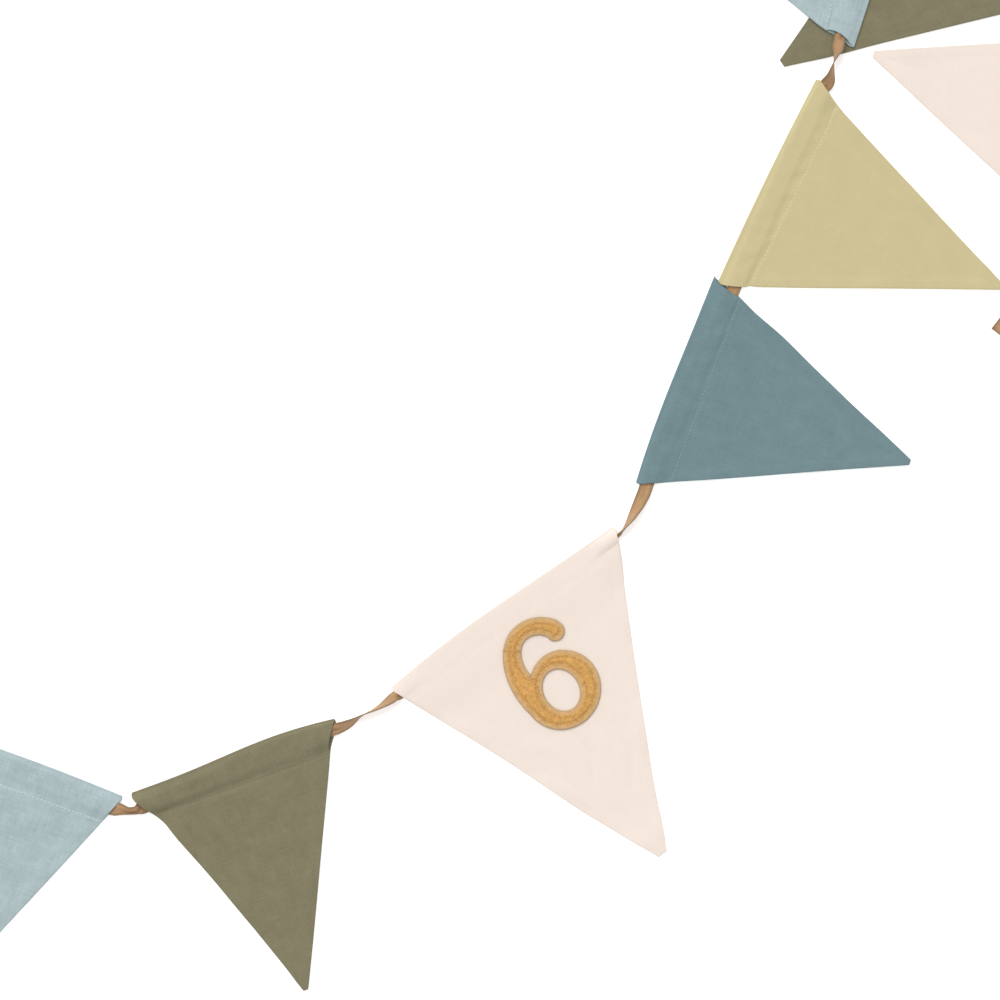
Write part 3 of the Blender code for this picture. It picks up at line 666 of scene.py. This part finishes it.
def make_pennant(row):
    """Two layers of cloth folded, sewn and turned, with a channel that is open at both ends."""
    ys, near, end = mesh_rows(row)
    inside = slice(near, end + 1)
    span = np.clip((ys - ys[near]) / (ys[end] - ys[near]), 0.0, 1.0)
    inset = np.sqrt(np.sin(math.pi * span).clip(0.0))
    left, right = side_x(row, ys, -1), side_x(row, ys, 1)
    # Closed rows roll over at their whole thickness, the channel's rows at each layer's own
    closed = np.ones(len(ys), bool)
    closed[near + 1:end] = False

    channel = channel_of(row)
    outer, inner = [], []
    for way, start, stop in ((1, channel.front_start, channel.front_end),
                             (-1, channel.back_start, channel.back_end)):
        x = column_x(row, left + start * inset, right - stop * inset)
        y = np.broadcast_to(ys[:, None], x.shape)
        edge = np.minimum(np.minimum(x - x[:, :1], x[:, -1:] - x), row.height - y)
        top, bottom = top_height(row, x, y), back_height(row, y)
        half = (top - bottom) / 2
        whole = bottom + half + way * half * rounded(y / FOLD_ROUND) * rounded(edge / half)
        middle = (top if way > 0 else bottom) - way * LAYER / 2
        roll = way * LAYER / 2 * rounded(edge / (LAYER / 2))
        height = np.where(closed[:, None], whole, middle + roll)
        flat, base, grain = place(row, x, y), under(row, x, y), np.stack([x, y, edge], -1)
        outer.append((np.dstack([flat, base + height]), grain))
        inner.append((np.dstack([flat, base + (middle - roll)])[inside], grain[inside]))

    grids = outer + inner
    firsts = np.cumsum([0] + [grain[..., 0].size for _, grain in grids])
    front, back, ceiling, floor = (first + np.arange(grain[..., 0].size).reshape(grain.shape[:2])
                                   for first, (_, grain) in zip(firsts, grids))
    back[0], back[-1] = front[0], front[-1]
    for side in (0, -1):
        back[closed, side] = front[closed, side]
        ceiling[:, side] = front[inside, side]
        floor[:, side] = back[inside, side]
    floor[0], floor[-1] = ceiling[0], ceiling[-1]
    up = row.hand > 0
    faces = (quads_of(front, up) + quads_of(back, not up) + quads_of(ceiling, not up)
             + quads_of(floor, up))
    points, grain = (np.concatenate([part.reshape(-1, 3) for part in parts]) for parts in zip(*grids))
    piece = add_object("cloth_" + short_name(row), points, faces, cloth_material(row.colour),
                       grain=grain)
    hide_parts(row.name)
    channel_area = (row.stitch - CHANNEL_NEAR - CHANNEL_END) * row.width
    body_area = row.height * (row.width + row.blunt) / 2
    row.width * MM
    (row.height + row.stitch) * MM
    (channel_area + body_area) * MM * MM


# One stitch: rings along it as shares of its length, their thickness and their height
STITCH_RINGS = ((-0.5, 0.35, -0.6), (-0.42, 0.8, -0.1), (-0.25, 1.0, 0.3), (0.0, 1.0, 0.42),
                (0.25, 1.0, 0.3), (0.42, 0.8, -0.1), (0.5, 0.35, -0.6))
STITCH_SIDES = 6


def stitches(lines, name, material, pitch, length, thick, up=1.0):
    """Lockstitches along lines of points, as one mesh."""
    rings = np.array(STITCH_RINGS)
    sides = np.arange(STITCH_SIDES)
    angles = sides * 2 * math.pi / STITCH_SIDES
    along = np.repeat(rings[:, 0], STITCH_SIDES) * length
    across = (rings[:, 1:2] * np.cos(angles)).ravel() * thick / 2
    above = (rings[:, 1:2] * np.sin(angles) + rings[:, 2:3]).ravel() * thick / 2
    shape = tube_faces(np.arange(len(along)).reshape(-1, STITCH_SIDES), False)
    points, faces = [], []
    for line in lines:
        travelled = travelled_along(line)
        for at in np.arange(pitch / 2, travelled[-1], pitch):
            ends = [np.array([np.interp(at + half, travelled, line[:, k]) for k in range(3)])
                    for half in (-length / 2, 0.0, length / 2)]
            forward = unit(ends[2] - ends[0])
            side = unit(np.cross((0.0, 0.0, up), forward))
            normal = np.cross(forward, side)
            start = len(points) * len(along)
            points.append(ends[1] + np.outer(along, forward) + np.outer(across, side)
                          + np.outer(above, normal))
            faces += [[start + k for k in face] for face in shape]
    return add_object(name, np.concatenate(points), faces, material)


def sew(row):
    """The stitch line under the channel, on both faces."""
    y = np.array((row.stitch,))
    first, last = float(side_x(row, y, -1)[0]), float(side_x(row, y, 1)[0])
    x = np.arange(first + SEWN_INSET, last - SEWN_INSET, SEWN_STEP)
    y = np.full(x.shape, row.stitch + SEWN_PAST)
    flat, base = place(row, x, y), under(row, x, y)
    thick = THREAD * (FAINT if channel_of(row).relief < FAINT_RELIEF else 1.0)
    for name, height, up, share in (("front", top_height(row, x, y), 1.0, 1.0),
                                    ("back", back_height(row, y), -1.0, BACK_THREAD)):
        line = np.column_stack([flat, base + height])
        piece = stitches([line], f"stitches_{name}_{short_name(row)}", thread_material(row.colour),
                         STITCH_PITCH, STITCH_LENGTH, thick * share, up)


# A point of the tape's route, as in the part's source
Key = namedtuple("Key", "point roll width under lifted step")


def channel_keys(row, roll_in, roll_out):
    """Points of the tape inside one pennant, from mouth to mouth."""
    base = HALF_TURN * round((roll_in + roll_out) / (2 * HALF_TURN))
    first, last = map(float, tape_mouths(row))
    channel = channel_of(row)
    edge_in, edge_out = row.mouth_start > EDGE_MOUTH, row.mouth_end > EDGE_MOUTH
    wide_in = EDGE_WIDTH if edge_in else channel.tape_in
    wide_out = EDGE_WIDTH if edge_out else channel.tape_out
    keys = []
    for x, roll, width in ((first, roll_in, wide_in), (first + ROLLED_FLAT, base, 1.0),
                           ((first + last) / 2, base, 1.0), (last - ROLLED_FLAT, base, 1.0),
                           (last, roll_out, wide_out)):
        y = blend(row.tape_start, row.tape_end, (x - first) / (last - first))
        keys.append(Key(place(row, x, y), roll, width, CHANNEL_UNDER, float(row is OVER),
                        CHANNEL_STEP))
    for k, fine in ((0, edge_in), (-2, edge_out), (-1, True)):
        if fine:
            keys[k] = keys[k]._replace(step=GAP_STEP)
    return keys


def free_keys(anchor, heading, marks, roll):
    """Points of a plain free end that leaves a mouth in the given direction."""
    return [Key(anchor + heading * away + left_of(heading) * offset, roll, 1.0, low, 0.0, CHANNEL_STEP)
            for away, offset, low in marks]


def tape_keys():
    """The whole route, from the free end at the left to the one at the right."""
    keys = []
    base = 0.0
    for row, gaps in zip(PENNANTS, [[], *GAPS]):
        rolled = EDGE_ROLL if row.mouth_start > EDGE_MOUTH else 0.0
        if gaps and gaps[-1].roll > HALF_TURN / 2:
            base += HALF_TURN
        roll_out = base + (EDGE_ROLL if row.mouth_end > EDGE_MOUTH else 0.0)
        inside = channel_keys(row, base - rolled, roll_out)
        if keys:
            start, along = keys[-1].point, inside[0].point - keys[-1].point
            turned = keys[-1].roll - keys[-1].roll % HALF_TURN
            for gap in gaps:
                point = start + along * gap.share + left_of(unit(along)) * gap.offset
                keys.append(Key(point, turned + gap.roll, gap.width, gap.under, float(row is OVER),
                                GAP_STEP))
        keys += inside
    first = free_keys(keys[0].point, unit(keys[0].point - keys[1].point), FREE_START, 0.0)
    last = free_keys(keys[-1].point, unit(keys[-1].point - keys[-2].point), FREE_END, base)
    return first[::-1] + keys + last


def steady_slopes(values, lengths):
    """Slopes for a curve through the values that never swings past one of them."""
    steps = np.diff(values) / lengths
    slopes = np.zeros(len(values))
    same = steps[:-1] * steps[1:] > 0
    before, after = steps[:-1][same], steps[1:][same]
    slopes[1:-1][same] = 2 * before * after / (before + after)
    return slopes


def hermite(first, last, slope_in, slope_out, t):
    """Cubic from first to last; the slopes are per whole stretch."""
    rest = first * (2 * t ** 3 - 3 * t ** 2 + 1) + last * (3 * t ** 2 - 2 * t ** 3)
    return rest + slope_in * (t ** 3 - 2 * t ** 2 + t) + slope_out * (t ** 3 - t ** 2)


def route(keys):
    """Sections along a smooth curve through the keys."""
    lengths = np.array([np.linalg.norm(b.point - a.point) for a, b in zip(keys, keys[1:])])
    places = np.array([key.point for key in keys])
    values = np.array([key[1:5] for key in keys])
    turns = np.array([steady_slopes(column, lengths) for column in values.T]).T
    steps = np.diff(places, axis=0) / lengths[:, None]
    before, after = lengths[:-1, None], lengths[1:, None]
    inner = (steps[:-1] * after + steps[1:] * before) / (before + after)
    slopes = np.concatenate([steps[:1], inner, steps[-1:]])
    sections = []
    for i, length in enumerate(lengths):
        count = max(1, round(length / keys[i].step))
        for k in range(count + (i == len(lengths) - 1)):
            sections.append([hermite(line[i], line[i + 1], bends[i] * length, bends[i + 1] * length,
                                     k / count) for line, bends in ((places, slopes), (values, turns))])
    return sections


def tape_profile(wide):
    """The tape's cross-section round its middle line: across, up and the place across the weave."""
    gather = wide / (math.pi * GATHERS) * math.sqrt(max(TAPE_WIDTH / wide - 1, 0.0))
    place_across = np.linspace(-1, 1, TAPE_ACROSS + 1)
    x = place_across * (wide - TAPE_THICK) / 2
    wave = 2 * math.pi * GATHERS / wide
    z = gather * np.sin(wave * x) + TAPE_CUP * place_across ** 2
    slope = gather * wave * np.cos(wave * x) + 4 * TAPE_CUP * place_across / wide
    normal = np.stack([-slope, np.ones_like(slope)], -1) / np.sqrt(1 + slope ** 2)[:, None]
    centre, half = np.stack([x, z], -1), TAPE_THICK / 2
    turns = (math.pi / 4, math.pi / 2, 3 * math.pi / 4)
    right, left = ([centre[k] + way * half * (np.array((math.sin(a), 0.0)) + math.cos(a) * normal[k])
                    for a in turns] for k, way in ((-1, 1), (0, -1)))
    ring = np.concatenate([centre + normal * half, right, (centre - normal * half)[::-1], left])
    edge = [TAPE_ROUND] * len(right)
    across = np.concatenate([place_across, edge, place_across[::-1], np.negative(edge)])
    return ring, across * TAPE_WIDTH / 2, gather


def make_tape():
    """One flat woven tape that rolls about its own middle line and is bunched in places."""
    sections = route(tape_keys())
    middle = np.array([point for point, _ in sections])
    travelled = travelled_along(middle)
    points, grain = [], []
    for i, (point, (roll, width, low, lifted)) in enumerate(sections):
        along = unit(middle[min(len(middle) - 1, i + 1)] - middle[max(0, i - 1)])
        cosine, sine = turned_by(roll)
        wide = TAPE_WIDTH * width
        ring, across, gather = tape_profile(wide)
        side = np.array((*(left_of(along) * cosine), sine))
        normal = np.array((*(-left_of(along) * sine), cosine))
        tall = wide * abs(sine) + (TAPE_THICK + 2 * gather + TAPE_CUP) * abs(cosine)
        z = TAPE_LOW * low + lifted * float(lift_over(point)) + tall / 2
        points.append(np.array((*point, z)) + ring[:, :1] * side + ring[:, 1:] * normal)
        edge = TAPE_WIDTH / 2 - np.abs(across)
        grain.append(np.stack([np.full(len(across), travelled[i]), across, edge], -1))
    rings = np.arange(len(points) * len(points[0])).reshape(len(points), -1)
    piece = add_object("woven_tape", np.concatenate(points), tube_faces(rings, True), tape_material(),
                       grain=np.concatenate(grain))
    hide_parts("tape")


def arc(part):
    """Points of an ellipse's arc, both ends included."""
    length = math.radians(abs(part.last - part.first)) * (part.wide + part.high) / 2
    angles = np.radians(np.linspace(part.first, part.last, max(2, round(length / ARC_LENGTH)) + 1))
    cosine, sine = turned_by(part.lean)
    across, up = part.wide * np.cos(angles), part.high * np.sin(angles)
    return np.stack([part.x + across * cosine - up * sine, part.y + across * sine + up * cosine], -1)


@cache
def numeral_outline():
    """Outer outline of the numeral and its hole."""
    return np.concatenate([arc(part) for part in NUMERAL_ARCS]), arc(NUMERAL_HOLE)[:-1]


def closed(outline):
    return np.concatenate([outline, outline[:1]])


def inset_line(outline, by):
    """The outline moved to its left, or to its right where by is below 0."""
    along = np.roll(outline, -1, 0) - np.roll(outline, 1, 0)
    normal = np.stack([-along[:, 1], along[:, 0]], -1) / np.linalg.norm(along, axis=1)[:, None]
    return outline + normal * by


@cache
def quilt_lines():
    """The quilting, a little inside the edges, and the seams across."""
    outer, hole = numeral_outline()
    ring = inset_line(outer, QUILT_INSET)
    kept = distance_to(ring, (outer,)) > QUILT_NEAR * QUILT_INSET
    kept = kept & (distance_to(ring, (hole,)) > QUILT_HOLE)
    first = int(np.argmin(kept))
    ring, kept = np.roll(ring, -first, 0), np.roll(kept, -first)
    breaks = np.flatnonzero(np.diff(kept.astype(int))) + 1
    runs = [run for run, keep in zip(np.split(ring, breaks), np.split(kept, breaks))
            if keep[0] and len(run) > QUILT_SHORTEST]
    return [*runs, closed(inset_line(hole, -QUILT_HOLE)), *map(np.array, NUMERAL_SEAMS)]


def distance_to(points, outlines):
    """Distance of each point from the nearest of the closed outlines."""
    return np.minimum.reduce([line_distance(points, closed(outline)) for outline in outlines])


def inside_outline(points, outline):
    """Which points lie inside a closed outline."""
    inside = np.zeros(len(points), bool)
    for first, last in zip(outline, np.roll(outline, -1, 0)):
        crosses = (first[1] > points[:, 1]) != (last[1] > points[:, 1])
        rise = last[1] - first[1] if last[1] != first[1] else TINY
        at = first[0] + (points[:, 1] - first[1]) / rise * (last[0] - first[0])
        inside ^= crosses & (points[:, 0] < at)
    return inside


def line_distance(points, line):
    """Distance of each point from an open line of points."""
    best = np.full(len(points), np.inf)
    for first, last in zip(line, line[1:]):
        run = last - first
        share = np.clip((points - first) @ run / max(run @ run, TINY), 0, 1)
        best = np.minimum(best, np.linalg.norm(points - first - share[:, None] * run, axis=1))
    return best


def quilted(points):
    """How deep in a quilting line or seam each point lies, from 0 to 1."""
    return np.maximum.reduce([bell(line_distance(points, line), QUILT_WIDE) for line in quilt_lines()])


def numeral_height(points, edge, sunk):
    """Height of the padded face over its underside."""
    lumps = sum(high * noise(*points.T, size, seed) for high, size, seed in NUMERAL_LUMPS)
    crown = NUMERAL_CROWN * smooth((edge - NUMERAL_ROLL) / CROWN_REACH)
    return (NUMERAL_RIM + crown - QUILT_DEPTH * sunk * smooth(edge / QUILT_FROM)
            + lumps * smooth(edge / LUMPS_FROM))


def numeral_points(points, height):
    """Points of the numeral's own frame in the layout, at heights over the pennant's face."""
    x, y = NUMERAL_AT[0] + points[:, 0], NUMERAL_AT[1] - points[:, 1]
    base = BODY + 2 * PUFF + NUMERAL_CLEAR + shoulder(LARGE, x, y)
    return np.column_stack([to_layout(LARGE, x, y), base + height])


def make_numeral():
    """A padded six whose edge is rolled over and whose face is quilted."""
    outlines = outer, hole = numeral_outline()

    def padded(points):
        return inside_outline(points, outer) & ~inside_outline(points, hole)

    parts = [outer, hole]
    for outline, way in ((outer, 1), (hole, -1)):
        for inset in NUMERAL_INSETS:
            ring = inset_line(outline, way * inset)
            parts.append(ring[(distance_to(ring, outlines) > INSET_NEAR * inset) & padded(ring)])
    low, high = outer.min(0), outer.max(0)
    across, up = np.meshgrid(np.arange(low[0], high[0], NUMERAL_GRID),
                             np.arange(low[1], high[1], NUMERAL_GRID * ROW_SHARE))
    across = across + (np.arange(up.shape[0]) % 2)[:, None] * NUMERAL_GRID / 2
    grid = np.stack([across.ravel(), up.ravel()], -1)
    grid = grid[padded(grid)]
    parts.append(grid[distance_to(grid, outlines) > NUMERAL_ROLL + GRID_CLEAR])
    loops = [np.arange(len(outer)), len(outer) + np.arange(len(hole))]
    edges = [(int(a), int(b)) for loop in loops for a, b in zip(loop, np.roll(loop, -1))]
    points = [Vector(point) for point in np.concatenate(parts)]
    flat, _, faces, *_ = delaunay_2d_cdt(points, edges, [], 1, MERGED)
    flat, faces = np.array([tuple(point) for point in flat]), [list(face) for face in faces]
    kept = ~inside_outline(np.array([flat[face].mean(0) for face in faces]), hole)

    edge, sunk = distance_to(flat, outlines), quilted(flat)
    face_high = numeral_height(flat, edge, sunk) - NUMERAL_SOLE
    upper = NUMERAL_SOLE + face_high * rounded(edge / NUMERAL_ROLL)
    lower = NUMERAL_SOLE * (1 - rounded(edge / SOLE_ROLL))
    below = np.arange(len(flat)) + np.where(edge < ON_RIM, 0, len(flat))
    piece = add_object("padded_numeral",
                       np.concatenate([numeral_points(flat, upper), numeral_points(flat, lower)]),
                       [side for face, keep in zip(faces, kept) if keep
                        for side in (face, below[face][::-1].tolist())],
                       numeral_material(), grain=np.tile(np.column_stack([flat, edge]), (2, 1)),
                       sunk=np.tile(sunk, 2))
    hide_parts("numeral")
    lines = [numeral_points(line, numeral_height(line, distance_to(line, outlines), quilted(line)))
             for line in quilt_lines()]
    sewn = stitches(lines, "numeral_stitches", thread_material("mustard"), QUILT_PITCH,
                    QUILT_LENGTH, QUILT_THREAD)


class Value:
    """A number, vector or colour that a node puts out; arithmetic with it adds nodes."""

    def __init__(self, socket):
        self.socket, self.tree = socket, socket.id_data

    def maths(self, operation, *others):
        inputs = dict(enumerate((self, *others)))
        return node(self.tree, "Math", inputs, operation=operation)

    def __rsub__(self, other):
        return node(self.tree, "Math", {0: other, 1: self}, operation="SUBTRACT")

    __add__ = partialmethod(maths, "ADD")
    __sub__ = partialmethod(maths, "SUBTRACT")
    __mul__ = partialmethod(maths, "MULTIPLY")
    __truediv__ = partialmethod(maths, "DIVIDE")
    __abs__ = partialmethod(maths, "ABSOLUTE")
    sine = partialmethod(maths, "SINE")
    at_least = partialmethod(maths, "MAXIMUM")
    at_most = partialmethod(maths, "MINIMUM")


def fill(target, inputs):
    """Set a node's inputs to constants or link them to values."""
    for key, value in inputs.items():
        if isinstance(value, Value):
            target.id_data.links.new(value.socket, target.inputs[key])
        else:
            target.inputs[key].default_value = value


def new_material(name):
    material = bpy.data.materials.new(name)
    material.use_nodes = True
    return material, material.node_tree


def node(tree, kind, inputs, output=0, **settings):
    """One output of a new node with these inputs and settings."""
    made = tree.nodes.new("ShaderNode" + kind)
    for key, value in settings.items():
        setattr(made, key, value)
    fill(made, inputs)
    return Value(made.outputs[output])


def shade(tree, inputs, height=None, strength=0.0, depth=0.0):
    """Fill in a material's shader, with a height in metres as its bump."""
    fill(tree.nodes["Principled BSDF"], inputs)
    if height:
        bump = node(tree, "Bump", {"Strength": strength, "Distance": depth, "Height": height})
        fill(tree.nodes["Principled BSDF"], {"Normal": bump})


def marked(tree, name, output="Vector"):
    """What the mesh's points carry under this name."""
    return node(tree, "Attribute", {}, output, attribute_name=name, attribute_type="GEOMETRY")


def split(vector):
    return [node(vector.tree, "SeparateXYZ", {0: vector}, k) for k in range(3)]


def mottling(vector, scale, detail=2.0, rough=0.5):
    """Soft noise."""
    return node(vector.tree, "TexNoise", {"Vector": vector, "Scale": scale, "Detail": detail,
                                          "Roughness": rough}, "Fac")


def streaks(across, along, wide, long, seed):
    """Noise drawn out in one direction, as uneven yarns are."""
    drawn = node(across.tree, "CombineXYZ", {0: across / wide, 1: along / long, 2: seed})
    return mottling(drawn, 1.0, rough=0.6)


def mixed(amount, first, second):
    """Two colours mixed by an amount from 0 to 1."""
    first, second = ((*c, 1.0) if isinstance(c, tuple) else c for c in (first, second))
    return node(amount.tree, "Mix", {0: amount, 6: first, 7: second}, 2, data_type="RGBA",
                clamp_factor=True)


def tinted(colour, strength, amount):
    """The colour, darker or lighter by the amount, which is about 0.5 in the middle."""
    dark = tuple(c * (1 - strength) ** 2 for c in colour)
    light = tuple(min(1.0, c * (1 + strength) ** 2) for c in colour)
    return mixed(amount, dark, light)


@cache
def cloth_material(name):
    """Plain-woven cloth with slubs, soft mottling, painted shade along its outermost edges and its
    weave as bump.
    """
    finish = FINISHES[name]
    material, tree = new_material(name + "_woven")
    grain = marked(tree, "grain")
    x, y, edge = split(grain)
    slubs = streaks(y, x, *SLUB, 3.0) + streaks(x, y, *SLUB, 8.0)
    yarns = streaks(y, x, *YARN, 5.0) + streaks(x, y, *YARN, 1.0)
    # Each noise is about 0.5 in the middle
    total = (slubs + mottling(grain, CLOTH_MOTTLE)) * SLUB_SHARE + yarns * YARN_SHARE
    amount = (total - (1.5 * SLUB_SHARE + YARN_SHARE)) * CLOTH_CONTRAST + 0.5
    # painted shade: the outermost millimetre of each edge is darker
    amount = amount + (1.0 - edge).at_least(0.0) * PAINTED_EDGE_SHADE
    weave = abs((x * (math.pi / WEAVE)).sine()) * abs((y * (math.pi / WEAVE)).sine())
    shade(tree, {"Base Color": tinted(finish.colour, finish.slubs, amount),
                 "Roughness": 0.98 - weave * 0.12, "Sheen Weight": 0.12, "Sheen Roughness": 0.5,
                 "Specular IOR Level": 0.25}, weave * 0.5 + yarns * 0.6, 0.6, 0.00012)
    return material


@cache
def thread_material(name):
    """Sewing thread with a faint twist."""
    material, tree = new_material(name + "_thread")
    twist = mottling(node(tree, "TexCoord", {}, "Object"), THREAD_MOTTLE, 1.0)
    shade(tree, {"Base Color": tinted(FINISHES[name].thread, 0.08, twist), "Roughness": 0.6,
                 "Sheen Weight": 0.2}, twist, 0.5, 0.0001)
    return material


def tape_material():
    """Herringbone tape: slanting ribs that turn at the middle, with tighter selvedges that are darker,
    partly by their own tone and partly by painted shade.
    """
    finish = FINISHES["tape"]
    material, tree = new_material("tape_woven")
    along, across, edge = split(marked(tree, "grain"))
    rib = ((along + abs(across)) * (2 * math.pi / RIB)).sine()
    yarns, mottle = streaks(across, along, *TAPE_YARN, 5.0), streaks(across, along, *TAPE_MOTTLE, 2.0)
    colour = tinted(finish.colour, finish.slubs, rib * 0.14 + (yarns + mottle) - 0.5)
    # darker towards the edges: partly the selvedges' tone, partly painted shade
    selvedge_tone_and_shade = (1.0 - edge / SELVEDGE).at_least(0.0) * (mottle + 0.35)
    shade(tree, {"Base Color": mixed(selvedge_tone_and_shade, colour, TAPE_SELVEDGE_AND_SHADE), "Roughness": 0.95 - yarns * 0.2,
                 "Sheen Weight": 0.15, "Specular IOR Level": 0.3}, rib + yarns * 0.8, 0.7, 0.00015)
    return material


def numeral_material():
    """Soft mustard cloth: a paler rolled edge with a dark outline, partly its binding and partly
    painted shade, a speckled middle and painted shade in the quilting grooves.
    """
    finish = FINISHES["mustard"]
    material, tree = new_material("mustard_padded")
    grain, sunk = marked(tree, "grain"), marked(tree, "sunk", "Fac")
    edge = node(tree, "SeparateXYZ", {0: grain}, 2)
    fine, broad = mottling(grain, 0.85, rough=0.6), mottling(grain, 0.3)
    both = fine + broad
    amount = both * 1.6 - 1.1
    inner = (edge - 1.5) * 0.33  # from 0 to 1 between the paler band and the middle
    colour = mixed(inner, tinted(NUMERAL_BAND, 0.07, amount),
                   tinted(finish.colour, finish.slubs, amount))
    inner = inner.at_least(0.0).at_most(1.0)
    # Dark specks where the fine noise is high, fewer in the band, and painted shade in patches along
    # the sunk quilting
    speckle = ((fine - 0.53) * 5.0).at_least(0.0) * (inner * 0.6 + 0.4)
    colour = mixed(speckle.at_most(0.75), colour, NUMERAL_SPECKS_AND_SHADE)
    # painted shade: darker in patches where the quilting is sunk
    groove = sunk * ((fine - 0.44) * 3.4).at_least(0.0)
    colour = mixed(groove.at_most(0.55), colour, NUMERAL_SPECKS_AND_SHADE)
    # dark outline at the rolled edge: partly the binding's own brown, partly painted shade
    colour = mixed((1.0 - edge / RIM_WIDE) * 0.65, colour, NUMERAL_OUTLINE_AND_SHADE)
    shade(tree, {"Base Color": colour, "Roughness": 1.0 - both * 0.2, "Sheen Weight": 0.2,
                 "Specular IOR Level": 0.3}, both, 0.7, 0.0004)
    return material


def make_floor():
    """A plain pale table top."""
    mesh = bpy.data.meshes.new("floor")
    corners = ((-1, -1), (1, -1), (1, 1), (-1, 1))
    mesh.from_pydata([(x * FLOOR_REACH, y * FLOOR_REACH, -FLOOR_DOWN) for x, y in corners], [],
                     [(0, 1, 2, 3)])
    material, tree = new_material("floor_paint")
    shade(tree, {"Base Color": FLOOR_COLOUR, "Roughness": 0.9, "Specular IOR Level": 0.1,
                 "Emission Color": WHITE, "Emission Strength": FLOOR_GLOW})
    mesh.materials.append(material)
    linked("floor", mesh)


def make_light():
    """A soft even studio light, a little stronger from the top of the picture."""
    scene = bpy.context.scene
    scene.world = bpy.data.worlds.new("studio")
    scene.world.use_nodes = True
    fill(scene.world.node_tree.nodes["Background"], {"Color": WHITE, "Strength": SKY})
    lamp = bpy.data.lights.new("window", "SUN")
    lamp.energy, lamp.angle = WINDOW, math.radians(WINDOW_WIDE)
    window = linked("window", lamp)
    window.rotation_euler = Vector(WINDOW_WAY).to_track_quat("-Z", "Y").to_euler()
    scene.view_settings.view_transform = "Standard"


def make_camera():
    """Straight above the middle of the photograph, with its field of view."""
    data = bpy.data.cameras.new("camera")
    data.lens, data.sensor_width = LENS, SENSOR
    camera = linked("camera", data)
    camera.location = to_frame((0.0, 0.0, PIXEL * PICTURE * LENS / SENSOR + BODY))
    bpy.context.scene.camera = camera


make_camera()
make_light()
make_floor()
for pennant in PENNANTS:
    make_pennant(pennant)
    sew(pennant)
make_tape()
make_numeral()
